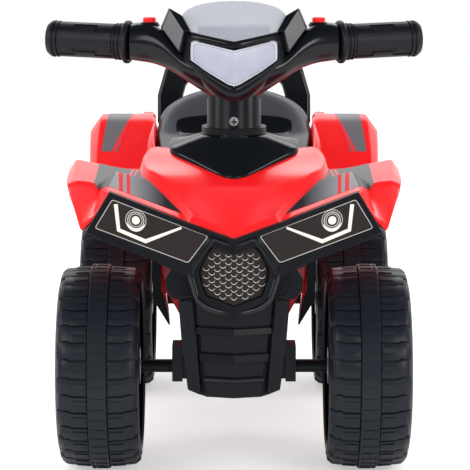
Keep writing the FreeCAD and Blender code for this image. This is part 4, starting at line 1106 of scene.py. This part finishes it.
class QUAD_OT_prints(bpy.types.Operator):
    """Printed headlights, and the grille with its raised ring"""

    bl_idname = "quad.prints"
    bl_label = "Headlights and grille"

    def print_layer(self, bm, name, finish, lift):
        """Lay a drawing on both halves of the fascia."""
        bmesh.ops.transform(bm, matrix=fascia_plane(lift), verts=bm.verts)
        bmesh.ops.recalc_face_normals(bm, faces=bm.faces)
        back = [face for face in bm.faces if face.normal.y > 0]
        bmesh.ops.reverse_faces(bm, faces=back)
        mirror_half(bm)
        dress(bm, name, finish, "chassis", "headlight_print")

    def execute(self, context):
        bm = bmesh.new()
        border = rounded(PANEL_LINE, PANEL_ROUND)
        ribbon(bm, border, [PANEL_LINE_WIDTH] * len(border), closed=True)
        for radius, width in LAMP_RINGS:
            circle = arc(LAMP, radius, 0, 360 - 360 / LAMP_STEPS, LAMP_STEPS - 1)
            ribbon(bm, circle, [width] * len(circle), closed=True)
        self.print_layer(bm, "silver_headlight_lines", "silver print", LINE_LIFT)
        bm = bmesh.new()
        ribbon(bm, LIGHT_BAR, LIGHT_BAR_WIDTHS)
        crescent = arc(LAMP, CRESCENT_R, *CRESCENT_DEG, CRESCENT_STEPS)
        thin, more = CRESCENT_WIDTH
        widths = [thin + more * math.sin(math.pi * i / CRESCENT_STEPS) for i in range(CRESCENT_STEPS + 1)]
        ribbon(bm, crescent, widths)
        turn = shifted(LAMP[0], 0, LAMP[1]) @ Matrix.Rotation(math.pi / 2, 4, "X")
        bmesh.ops.create_circle(bm, cap_ends=True, radius=LAMP_R * MM, segments=LAMP_STEPS, matrix=turn)
        self.print_layer(bm, "cream_lamps", "lamp print", LAMP_LIFT)
        bm = bmesh.new()
        wide, high = ARC_PITCH
        for row in range(ARC_ROWS):
            for column in range(ARC_COLUMNS):
                x = column * wide + (wide / 2 if row % 2 else 0)
                z = ARC_TOP - row * high
                if in_grille(x, z):
                    widths = ARC_WIDTHS if x else ARC_WIDTHS[len(ARC_WIDTHS) // 2:]
                    bow = arc((x, z + ARC_R), ARC_R, -ARC_DEG if x else 0, ARC_DEG, len(widths) - 1)
                    ribbon(bm, bow, widths)
        self.print_layer(bm, "silver_grille_arcs", "silver print", ARC_LIFT)
        bm = bmesh.new()
        rings = []
        for lift, outline in GRILLE_RINGS:
            verts = chain(bm, [(x, 0, z) for x, z in outline])
            bmesh.ops.transform(bm, matrix=fascia_plane(lift), verts=verts)
            rings.append(verts)
        loft(bm, rings)
        crease(bm, rings[1], GRILLE_CREST_CREASE)
        for line in list(zip(*rings))[1:-1]:
            crease(bm, line, GRILLE_CORNER_CREASE)
        both_halves(bm, (0, -1, 0))
        dress(bm, "black_grille_ring", *BLACK_SHELL, levels=2)
        return {"FINISHED"}


# Seat: y, half width, edge height, middle height, 1 for a hump or 0 for a dish
SEAT = (
    (-50, 58, 256, 257, 0),
    (-20, 65, 261, 256, 0),
    (40, 71, 266, 255, 0),
    (85, 79, 279, 263, 0),
    (120, 83, 290, 285, 0),
    (125, 83.2, 291.2, 290, 0),
    (146, 84, 295.4, 310.2, 1),
    (150, 84, 296, 314, 1),
    (168, 84.5, 297, 333, 1),
    (182, 84, 296, 338, 1),
    (187, 83, 294, 336, 1),
)
SEAT_STEPS = (0, 0.2, 0.4, 0.6, 0.75, 0.87, 0.95, 1)
SEAT_FLOOR = 246.6
# How much wider the seat is at its floor
SEAT_FLARE = 0.3
# Ends under the first and last row: half width, y, height in the middle, then the lower corner
SEAT_FRONT = (58, -51, SEAT_FLOOR + 3, (58.4, -50.5, SEAT_FLOOR - 0.2))
SEAT_BACK = (83, 187.5, SEAT_FLOOR, (83.2, 187.5, SEAT_FLOOR - 0.3))
SEAT_END_CREASE = 0.6
SEAT_SIDE_CREASE = 0.4
SEAT_WALL = 3.5
# Hollow of the seat, in the glossier, darker black that paints the shade in it: its faces as row and step
# across, then the width of its rim and its depth
SEAT_POCKET = ((5, 0), (5, 1), (5, 2), (5, 3))
POCKET_RIM = 2.4
POCKET_DEPTH = 2.6


def seat_end(bm, width, y, middle_z, corner):
    """Lower line of one end of the seat."""
    points = [(share * width, y, middle_z + (SEAT_FLOOR - middle_z) * share) for share in SEAT_STEPS]
    return chain(bm, points + [corner])


class QUAD_OT_seat(bpy.types.Operator):
    """Black seat shell with a raised backrest"""

    bl_idname = "quad.seat"
    bl_label = "Seat"

    def execute(self, context):
        bm = bmesh.new()
        rows = []
        for y, width, edge_z, middle_z, hump in SEAT:
            points = []
            for share in SEAT_STEPS:
                bow = math.sqrt(1 - share ** 2) if hump else (1 - share ** 2) ** 2
                points.append((share * width, y, edge_z + (middle_z - edge_z) * bow))
            rows.append(chain(bm, points + [(width + SEAT_FLARE, y, SEAT_FLOOR)]))
        loft(bm, [seat_end(bm, *SEAT_FRONT), *rows, seat_end(bm, *SEAT_BACK)])
        crease(bm, rows[0], SEAT_END_CREASE)
        crease(bm, rows[-1], SEAT_END_CREASE)
        crease(bm, [row[-2] for row in rows], SEAT_SIDE_CREASE)
        mark_cells(rows, SEAT_POCKET, 1)
        both_halves(bm, (0, 0, 1))
        pocket = [face for face in bm.faces if face.material_index == 1]
        bmesh.ops.inset_region(
            bm, faces=pocket, thickness=POCKET_RIM * MM, depth=-POCKET_DEPTH * MM, use_even_offset=True
        )
        seat = dress(bm, "black_seat_shell", "satin polypropylene with painted sheen", "chassis", "black_gloss", ("seat",),
                     wall=SEAT_WALL * MM, levels=2)
        # Painted shade: the faces of the hollow take the darker black
        seat.data.materials.append(look("black polypropylene"))
        return {"FINISHED"}


# Rear handle: half outline as (x, z) from its foot, thickness, place and tilt of the foot, lowest height
HANDLE = ((0, 80), (64, 78), (78, 66), (87, 34), (87, 0.5), (58, 0.5), (58, 34), (54, 48), (44, 54), (0, 55))
HANDLE_T = 22.0
HANDLE_PLACE = (0, 226.0, 289.5)
HANDLE_TILT = math.radians(-12)
HANDLE_FOOT_Z = 284.0


class QUAD_OT_rear_handle(bpy.types.Operator):
    """Black loop handle behind the backrest"""

    bl_idname = "quad.rear_handle"
    bl_label = "Rear handle"

    def execute(self, context):
        bm = bmesh.new()
        slab(bm, [(x, 0, z) for x, z in HANDLE], (0, HANDLE_T, 0))
        open_middle(bm)
        both_halves(bm)
        place = shifted(*HANDLE_PLACE) @ Matrix.Rotation(HANDLE_TILT, 4, "X")
        bmesh.ops.transform(bm, matrix=place, verts=bm.verts)
        for vert in bm.verts:
            vert.co.z = max(vert.co.z, HANDLE_FOOT_Z * MM)
        dress(bm, "black_rear_handle", *BLACK_SHELL, ("rear_handle",), edge=4.0 * MM, sharp_deg=20)
        return {"FINISHED"}


# Wheel about the X axis: (x from its middle, radius), the outer side at +x
TYRE = (
    (-39, 82), (-37.4, 89), (-35.4, 92.2), (-31.6, 94), (-29, 93.6), (-9.6, 95), (-9, 95.6), (-9, 98.6),
    (-8.4, 99.3), (8.4, 99.3), (9, 98.6), (9, 95.6), (9.6, 95), (29, 93.6), (31.6, 94), (36, 92),
    (38.4, 88.5), (40, 82.5), (40, 74), (38, 71.5), (25.5, 66), (24, 64.5), (24, 21.5), (25, 20.5),
    (26, 19.5), (26, 8.3), (-37, 8.3), (-37, 18), (20, 18), (20, 64), (22, 67.5), (34, 74), (34, 80),
    (28, 88), (-34, 87), (-37, 80),
)
TYRE_STEPS = 72
# Places of the wheels: y of each axle, x of the middle and height
WHEELS = {"front": -178.0, "rear": 166.0}
WHEEL_X = 128.5
AXLE_Z = 100.0
# Spokes, and the rungs and ticks on the band: size, x and radius of the middle
SPOKES = 6
SPOKE = ((6, 15, 49), 25.5, 43.5)
SPOKE_ROUND = 2.0
RUNGS = 56
RUNG = ((11, 1.7, 1.2), -1.6, 99.3)
TICK = ((2.4, 3.4, 1.2), 6.6, 99.3)
# Half width of the band
BAND_X = 9.0
# Rows along a lug: distance from the band, radius and shift round the wheel; every second lug goes on over
# the shoulder
LUG = ((0.6, 97, 0), (15.5, 96, 0), (19, 95.7, 1.7), (24.5, 95, 1.7))
LUG_SHOULDER = (29, 91.2, 1.7)
LUG_DEEP = 4.0
LUG_ROUND = 0.6
LUG_SHARP_DEG = 25
# Radius at which the lugs share the way round
TREAD_R = 95.0
# Ridge on a lug: length and height, width and shift as shares of the lug's width, distance from the band,
# radius and lean
RIDGE_LONG = 12.5
RIDGE_HIGH = 0.6
RIDGE_SHARE = 0.3
RIDGE_SHIFT = 0.1
RIDGE_X = 8.2
RIDGE_R = 97.2
RIDGE_LEAN = math.radians(4)
HUB_CAP = (
    (29.4, 22), (29.4, 26), (36, 26), (37.6, 25), (38.2, 23), (37.4, 19), (37.4, 10), (38.6, 8), (38.6, 0.01),
    (34, 0.01), (34, 21),
)
HUB_CAP_STEPS = 40


def build_lug(bm, side, turn, width, rows):
    """One lug of the tread: a kinked strip along its rows, thickened towards the axle."""
    lug = bmesh.new()
    lines = []
    for x, radius, shift in rows:
        place = side * (BAND_X + x)
        lines.append(chain(lug, [(place, shift + half, radius) for half in (-width / 2, width / 2)]))
    loft(lug, lines)
    bmesh.ops.translate(lug, verts=pulled(lug, lug.faces[:]), vec=(0, 0, -LUG_DEEP * MM))
    turn_outwards(lug)
    bmesh.ops.transform(lug, matrix=turn, verts=lug.verts)
    join(bm, lug)


def even_turns(count):
    """Even turns about the X axis."""
    return [Matrix.Rotation(2 * math.pi * i / count, 4, "X") for i in range(count)]


def build_wheel(sizes):
    """Wheel with lugs, ridges, rungs and spokes, about the origin."""
    bm = bmesh.new()
    lathe(bm, TYRE, TYRE_STEPS)
    turn_outwards(bm)
    extra = bmesh.new()
    width = 2 * math.pi / sizes.lugs * TREAD_R - sizes.lug_gap / MM
    for side in (-1, 1):
        for i, turn in enumerate(even_turns(sizes.lugs)):
            build_lug(extra, side, turn, width, LUG + (LUG_SHOULDER,) * (i % 2))
    limit = math.radians(LUG_SHARP_DEG)
    sharp = [e for e in extra.edges if len(e.link_faces) == 2 and e.calc_face_angle() > limit]
    rounded_off(extra, sharp, LUG_ROUND)
    for side in (-1, 1):
        lean = Matrix.Rotation(RIDGE_LEAN * side, 4, "Y")
        place = shifted(side * (BAND_X + RIDGE_X), width * RIDGE_SHIFT, RIDGE_R) @ lean
        for turn in even_turns(sizes.lugs):
            block(extra, (RIDGE_LONG, width * RIDGE_SHARE, RIDGE_HIGH), turn @ place)
    for turn in even_turns(RUNGS):
        for size, x, radius in (RUNG, TICK):
            block(extra, size, turn @ shifted(x, 0, radius))
    size, x, radius = SPOKE
    for turn in even_turns(SPOKES):
        spoke = block(extra, size, turn @ shifted(x, 0, radius))
        rounded_off(extra, list({edge for vert in spoke for edge in vert.link_edges}), SPOKE_ROUND)
    join(bm, extra)
    return bm


class QUAD_OT_wheels(bpy.types.Operator):
    """Four broad wheels with their hub caps"""

    bl_idname = "quad.wheels"
    bl_label = "Wheels"

    def execute(self, context):
        for end, y in WHEELS.items():
            for side, sign in (("left", 1), ("right", -1)):
                place = shifted(sign * WHEEL_X, y, AXLE_Z) @ Matrix.Diagonal((sign, 1, 1, 1))
                bm = build_wheel(context.scene.quad_sizes)
                bmesh.ops.transform(bm, matrix=place, verts=bm.verts)
                if sign < 0:
                    bmesh.ops.reverse_faces(bm, faces=bm.faces)
                dress(bm, f"{end}_{side}_tyre", "wheel polyethylene", f"{end}_{side}_wheel", "wheel_black",
                      (f"{end}_wheel_{side}",), sharp_deg=30)
                bm = bmesh.new()
                lathe(bm, HUB_CAP, HUB_CAP_STEPS)
                bmesh.ops.transform(bm, matrix=place, verts=bm.verts)
                turn_outwards(bm)
                dress(bm, f"{end}_{side}_cap", "grained polypropylene", f"{end}_{side}_wheel", "black_matte",
                      (f"{end}_hub_cap_{side}",), sharp_deg=30)
        return {"FINISHED"}


# Handlebar: x, then the middle (y, z), half depth and half height of its section
BAR = (
    (0, -92, 372, 24, 24),
    (12, -92, 373.5, 24, 23.5),
    (24, -91, 376, 23, 21),
    (36, -90, 380, 21, 17.5),
    (50, -87, 385, 19, 13.5),
    (58, -84, 392, 18.5, 14.5),
    (66, -81, 398.6, 18.3, 17.2),
    (75, -77, 403.8, 18.8, 19.4),
    (84, -73, 407, 19.3, 20.2),
    (96, -69, 407.4, 18.6, 19.6),
    (104.2, -66.2, 407, 18, 18),
)
BAR_STEPS = 24
GRIP_START = Vector((104, -66, 406.7))
GRIP_END = Vector((186.5, -46.5, 409))
# Place of a button, and its collar: radius at the top and at the foot, height of the middle, and height
BUTTON = (84.5, -71.0)
COLLAR = (8.4, 11.0, 425.2, 4.4)
COLLAR_STEPS = 32


class QUAD_OT_handlebar(bpy.types.Operator):
    """Handlebar body with its arms and the button collars"""

    bl_idname = "quad.handlebar"
    bl_label = "Handlebar"

    def execute(self, context):
        bm = bmesh.new()
        rings = []
        for x, y, z, depth, height in BAR:
            shape = shifted(x, y, z) @ Matrix.Rotation(math.pi / 2, 4, "Y")
            shape = shape @ Matrix.Diagonal((height * MM, depth * MM, 1, 1))
            made = bmesh.ops.create_circle(bm, cap_ends=False, radius=1.0, segments=BAR_STEPS, matrix=shape)
            rings.append(made["verts"] + made["verts"][:1])
        loft(bm, rings)
        both_halves(bm)
        dress(bm, "black_handlebar_body", *BAR_SHELL,
              ("handlebar_upper_shell", "handlebar_lower_shell"), levels=2)
        bm = bmesh.new()
        top, foot, middle_z, high = COLLAR
        bmesh.ops.create_cone(
            bm, cap_ends=True, segments=COLLAR_STEPS, radius1=foot * MM, radius2=top * MM, depth=high * MM,
            matrix=shifted(*BUTTON, middle_z),
        )
        both_halves(bm)
        dress(bm, "button_collars", *BAR_SHELL, ("handlebar_upper_shell",), edge=1.0 * MM)
        return {"FINISHED"}


# Headlight: half outlines from the middle of the top to the middle of the bottom as (x, z), then the rings of
# the housing with the depth behind the front as a third value
LIGHT_Y = -124.0
LIGHT_SWEEP = 0.38
LIGHT_LEAN = 0.12
LIGHT_Z = 390.0
LENS_EDGE = (
    (0, 402.6), (20, 407), (39, 411), (43, 409.2), (43.4, 401),
    (43.2, 392), (25, 380), (6, 369.4), (0, 367.6),
)
HOUSING = (
    tuple((x, z, 6) for x, z in LENS_EDGE),
    ((0, 403.6, -0.6), (20, 408, -0.6), (39.8, 412.2, -0.6), (44.3, 410, -0.6), (44.7, 401, -0.6),
     (44.4, 391.2, -0.6), (26, 378.8, -0.6), (6.6, 367.8, -0.6), (0, 366, -0.6)),
    ((0, 408.6, -0.8), (21, 413.4, -0.8), (42, 417.4, -0.2), (48.4, 413.6, 0.4), (49, 401.5, 0.6),
     (48.2, 389, 0.6), (29, 374.5, 0), (9, 361.5, -0.4), (0, 359.2, -0.6)),
    ((0, 411, 3.5), (22, 416, 3.5), (45.5, 420.6, 3.5), (52, 415.6, 5), (52.8, 401, 6),
     (51.6, 386.5, 7), (32, 368.5, 5), (11, 352, 3.4), (0, 348.6, 3)),
    ((0, 408.6, 16), (22, 413.6, 16), (44, 417.6, 16), (51.5, 412.4, 18), (53, 400, 20),
     (52, 385.5, 22), (33, 364.5, 18), (12, 345.6, 14), (0, 341.6, 13)),
)
# Sharpness of the housing's rings (number, how many points from the top) and of its corners
HOUSING_CREASES = ((1, 9, 0.6), (2, 9, 0.7), (3, 5, 0.7))
HOUSING_CORNERS = (2, 3, 5)
HOUSING_CORNER_CREASE = 0.6
# Wing: tip, foot of the outer edge, foot of the ridge, lower corner, foot and head of the inner edge beside
# the windshield, then lower and upper end of the fold under the housing
WING = (
    (64, -87, 442), (72.5, -88, 422), (49, -108, 420.6), (54, -106, 399), (42, -109, 420), (51, -96, 435.2),
    (45, -96, 398), (45, -99, 420.6),
)
WING_PUSH = (1.0, 9.0, 0)
# Rings of the lens: share of its edge and depth; then its dots
LENS_RINGS = ((1.0, 3.2), (0.98, 1.6), (0.93, 1.4), (0.5, 1.2))
DOT_SHARE = (0.92, 0.88)
DOT_DEPTH = 1.25
DOT_STEPS = 8
DOT_PITCH = 3.2
DOT_R = 0.75
# Windshield: (y, z) of its foot and head, half width, share of its height where the round begins, lower
# corner as x and share of the height, fold, bow with its direction as (y, z), step of the round, rings, sheet
SHIELD_FOOT = (-118.0, 411.3)
SHIELD_HEAD = (-68.0, 448.0)
SHIELD_WIDTH = 51.5
SHIELD_SIDE = 0.6
SHIELD_CORNER = (43.2, 0.24)
SHIELD_FOLD = 0.07
SHIELD_BOW = 2.0
SHIELD_BOW_WAY = (-0.6, 0.8)
SHIELD_STEP_DEG = 10
SHIELD_RINGS = (1.0, 0.95, 0.6, 0.3)
SHIELD_T = 2.2


def light_point(x, z, depth):
    """Point a depth behind the front of the headlight."""
    return x, LIGHT_Y + LIGHT_SWEEP * x + LIGHT_LEAN * (z - LIGHT_Z) + depth, z


def shield_point(x, share):
    """Point of the windshield, folded along its middle and bowed forward."""
    (y0, z0), (y1, z1) = SHIELD_FOOT, SHIELD_HEAD
    bow = SHIELD_BOW * (1 - (x / SHIELD_WIDTH) ** 2) * math.sin(math.pi * share)
    ahead, up = SHIELD_BOW_WAY
    return x, y0 + (y1 - y0) * share + bow * ahead + SHIELD_FOLD * x, z0 + (z1 - z0) * share + bow * up


class QUAD_OT_headlight(bpy.types.Operator):
    """Headlight housing with wings, milky lens and smoky windshield"""

    bl_idname = "quad.headlight"
    bl_label = "Headlight and windshield"

    def execute(self, context):
        bm = bmesh.new()
        rings = [chain(bm, [light_point(*point) for point in ring]) for ring in HOUSING]
        loft(bm, rings)
        for ring, count, share in HOUSING_CREASES:
            crease(bm, rings[ring][:count], share)
        for corner in HOUSING_CORNERS:
            crease(bm, [ring[corner] for ring in rings], HOUSING_CORNER_CREASE)
        both_halves(bm, (0, -1, 0))
        dress(bm, "black_headlight_housing", *BAR_SHELL, ("headlight_housing",), levels=2)
        self.wings()
        self.lens()
        self.windshield()
        return {"FINISHED"}

    def wings(self):
        """Pointed wings beside the windshield."""
        bm = bmesh.new()
        tip, outer, ridge, low, foot, head, tuck_low, tuck_high = [
            bm.verts.new(Vector(point) * MM) for point in WING
        ]
        bm.faces.new((tip, outer, low, ridge))
        bm.faces.new((tip, ridge, foot, head))
        bm.faces.new((ridge, low, tuck_low, tuck_high))
        bmesh.ops.translate(bm, verts=pulled(bm, bm.faces[:]), vec=Vector(WING_PUSH) * MM)
        both_halves(bm)
        dress(bm, "black_windshield_wings", *BAR_SHELL, ("headlight_housing",), edge=1.4 * MM, sharp_deg=12)

    def lens(self):
        """Milky lens, folded in the middle, with a row of small dots inside its edge."""
        bm = bmesh.new()
        rings = []
        for share, depth in LENS_RINGS:
            points = [light_point(x * share, LIGHT_Z + (z - LIGHT_Z) * share, depth) for x, z in LENS_EDGE]
            rings.append(chain(bm, points))
        loft(bm, rings)
        # Painted highlight: the faces along the edge take the paler colour
        for face in bm.faces:
            face.material_index = int(any(vert in rings[1] for vert in face.verts))
        bm.faces.new(rings[-1])
        both_halves(bm, (0, -1, 0))
        lens = dress(bm, "milky_lens", "milky polycarbonate", "steering", "lens_pale", ("headlight_lens",),
                     sharp_deg=20)
        lens.data.materials.append(look("lens rim highlight"))
        bm = bmesh.new()
        path = [Vector(point) for point in LENS_EDGE]
        for near, far in zip(path, path[1:]):
            count = max(1, round((far - near).length / DOT_PITCH))
            for i in range(count):
                x, z = near + (far - near) * (i + 0.5) / count
                place = light_point(x * DOT_SHARE[0], LIGHT_Z + (z - LIGHT_Z) * DOT_SHARE[1], DOT_DEPTH)
                spot = shifted(*place) @ Matrix.Rotation(math.pi / 2, 4, "X")
                bmesh.ops.create_circle(bm, cap_ends=True, radius=DOT_R * MM, segments=DOT_STEPS, matrix=spot)
        mirror_half(bm)
        dress(bm, "lens_dots", "lens print", "steering", "lens_pale")

    def windshield(self):
        """Bowed sheet of smoky acrylic."""
        bm = bmesh.new()
        outline = [(0, 0), SHIELD_CORNER]
        for turn in range(0, 91, SHIELD_STEP_DEG):
            across, up = math.cos(math.radians(turn)), math.sin(math.radians(turn))
            outline.append((SHIELD_WIDTH * across, SHIELD_SIDE + (1 - SHIELD_SIDE) * up))
        rows = []
        for share in SHIELD_RINGS:
            rows.append(chain(bm, [shield_point(x * share, 0.5 + (at - 0.5) * share) for x, at in outline]))
        loft(bm, rows)
        bm.faces.new(rows[-1])
        both_halves(bm, (0, -1, 0))
        dress(bm, "smoky_windshield", "smoky acrylic", "steering", "smoke_clear", ("windshield",),
              wall=SHIELD_T * MM, sharp_deg=7)


# Grip about its own length: (distance from the inner end, radius)
GRIP = (
    (0, 12.2), (0, 20.5), (1.2, 21.5), (4, 21.5), (5.2, 20.5), (6, 17.6), (8.6, 17.4), (9, 18.6),
    (10.4, 18.6), (10.8, 17.2), (12.6, 17.2), (13, 18.4), (14.4, 18.4), (14.8, 16.4), (73, 16.4),
    (73.4, 18.2), (75, 18.2), (75.4, 17), (77.4, 17), (77.8, 18.4), (80, 18.4), (82, 17.4),
    (84.7, 15.2), (84.8, 0.01), (79, 0.01), (79, 12.2),
)
GRIP_STEPS = 48
# Raised pads of the grip: how many, radius, share of it at their foot, turn of the first in degrees, then
# lines across as distance from the inner end, and around in degrees
PADS = 4
PAD_R = 17.6
PAD_SINK = 0.92
PAD_TURN = 86.0
PAD_X = (16, 31.5, 33.5, 54.5, 56.5, 72)
PAD_DEG = (-46, -36, -26, -13, 0, 13, 26, 36, 46)
# Strips of a pad that are cut back to tabs: those before a number and after one, with the columns of the tabs
PAD_LOWER = (2, (0, 4))
PAD_UPPER = (5, (2,))


class QUAD_OT_grips(bpy.types.Operator):
    """Vinyl grips with rings and raised pads"""

    bl_idname = "quad.grips"
    bl_label = "Grips"

    def execute(self, context):
        way = (GRIP_END - GRIP_START).normalized()
        aim = Vector((1, 0, 0)).rotation_difference(way).to_matrix().to_4x4()
        place = Matrix.Translation(GRIP_START * MM) @ aim
        for side, sign in (("left", 1), ("right", -1)):
            bm = bmesh.new()
            lathe(bm, GRIP, GRIP_STEPS)
            turn_outwards(bm)
            pads = bmesh.new()
            for i in range(PADS):
                self.pad(pads, Matrix.Rotation(math.radians(PAD_TURN + 360 * i / PADS), 4, "X"))
            turn_outwards(pads)
            for vert in pulled(pads, pads.faces[:]):
                vert.co = Vector((vert.co.x, vert.co.y * PAD_SINK, vert.co.z * PAD_SINK))
            turn_outwards(pads)
            join(bm, pads)
            bmesh.ops.transform(bm, matrix=Matrix.Diagonal((sign, 1, 1, 1)) @ place, verts=bm.verts)
            if sign < 0:
                bmesh.ops.reverse_faces(bm, faces=bm.faces)
            dress(bm, f"{side}_vinyl_grip", "grip vinyl", "steering", "grip_black", (f"grip_{side}",),
                  edge=0.4 * MM)
        return {"FINISHED"}

    def pad(self, bm, turn):
        """Sheet of one pad with a tab in the middle of one edge and at both ends of the other."""
        columns, lines = len(PAD_X) - 1, len(PAD_DEG) - 1
        made = bmesh.ops.create_grid(bm, x_segments=columns, y_segments=lines, size=0.5)["verts"]
        (lower, lower_tabs), (upper, upper_tabs) = PAD_LOWER, PAD_UPPER
        notches = []
        for face in {face for vert in made for face in vert.link_faces}:
            spot = face.calc_center_median()
            column, line = int((spot.x + 0.5) * columns), int((spot.y + 0.5) * lines)
            if (line > upper and column not in upper_tabs) or (line < lower and column not in lower_tabs):
                notches.append(face)
        for vert in made:
            x = PAD_X[round((vert.co.x + 0.5) * columns)]
            around = math.radians(PAD_DEG[round((vert.co.y + 0.5) * lines)])
            vert.co = turn @ (Vector((x, PAD_R * math.sin(around), PAD_R * math.cos(around))) * MM)
        bmesh.ops.delete(bm, geom=notches, context="FACES")


class QUAD_OT_buttons(bpy.types.Operator):
    """Red push buttons"""

    bl_idname = "quad.buttons"
    bl_label = "Buttons"

    def execute(self, context):
        for side in ("left", "right"):
            bm = packed_copy(f"button_{side}")
            dress(bm, f"{side}_red_button", "red polypropylene", f"{side}_button", "red_button",
                  (f"button_{side}",), edge=1.2 * MM)
        return {"FINISHED"}


class QUAD_PT_panel(bpy.types.Panel):
    """List of the pieces with their sizes and colours"""

    bl_label = "Kids quad bike"
    bl_idname = "QUAD_PT_panel"
    bl_space_type = "VIEW_3D"
    bl_region_type = "UI"
    bl_category = "Quad"

    def draw(self, context):
        for group in (context.scene.quad_sizes, context.scene.quad_colours):
            for key in group.__annotations__:
                self.layout.prop(group, key)
        for step in STEPS:
            self.layout.operator(step.bl_idname)


STEPS = (
    QUAD_OT_stage,
    QUAD_OT_finishes,
    QUAD_OT_cowl,
    QUAD_OT_rear_body,
    QUAD_OT_black_mouldings,
    QUAD_OT_dash,
    QUAD_OT_skid_plate,
    QUAD_OT_prints,
    QUAD_OT_seat,
    QUAD_OT_rear_handle,
    QUAD_OT_wheels,
    QUAD_OT_handlebar,
    QUAD_OT_headlight,
    QUAD_OT_grips,
    QUAD_OT_buttons,
)
CLASSES = (QuadColours, QuadSizes, *STEPS, QUAD_PT_panel)


def register():
    """Register the classes and the settings."""
    for item in CLASSES:
        bpy.utils.register_class(item)
    bpy.types.Scene.quad_colours = bpy.props.PointerProperty(type=QuadColours)
    bpy.types.Scene.quad_sizes = bpy.props.PointerProperty(type=QuadSizes)


def unregister():
    """Undo register."""
    del bpy.types.Scene.quad_sizes
    del bpy.types.Scene.quad_colours
    for item in reversed(CLASSES):
        bpy.utils.unregister_class(item)


def main():
    """Make every piece in order."""
    register()
    bpy.ops.quad.stage()
    bpy.ops.quad.finishes()
    bpy.ops.quad.cowl()
    bpy.ops.quad.rear_body()
    bpy.ops.quad.black_mouldings()
    bpy.ops.quad.dash()
    bpy.ops.quad.skid_plate()
    bpy.ops.quad.prints()
    bpy.ops.quad.seat()
    bpy.ops.quad.rear_handle()
    bpy.ops.quad.wheels()
    bpy.ops.quad.handlebar()
    bpy.ops.quad.headlight()
    bpy.ops.quad.grips()
    bpy.ops.quad.buttons()


if __name__ == "__main__":
    main()
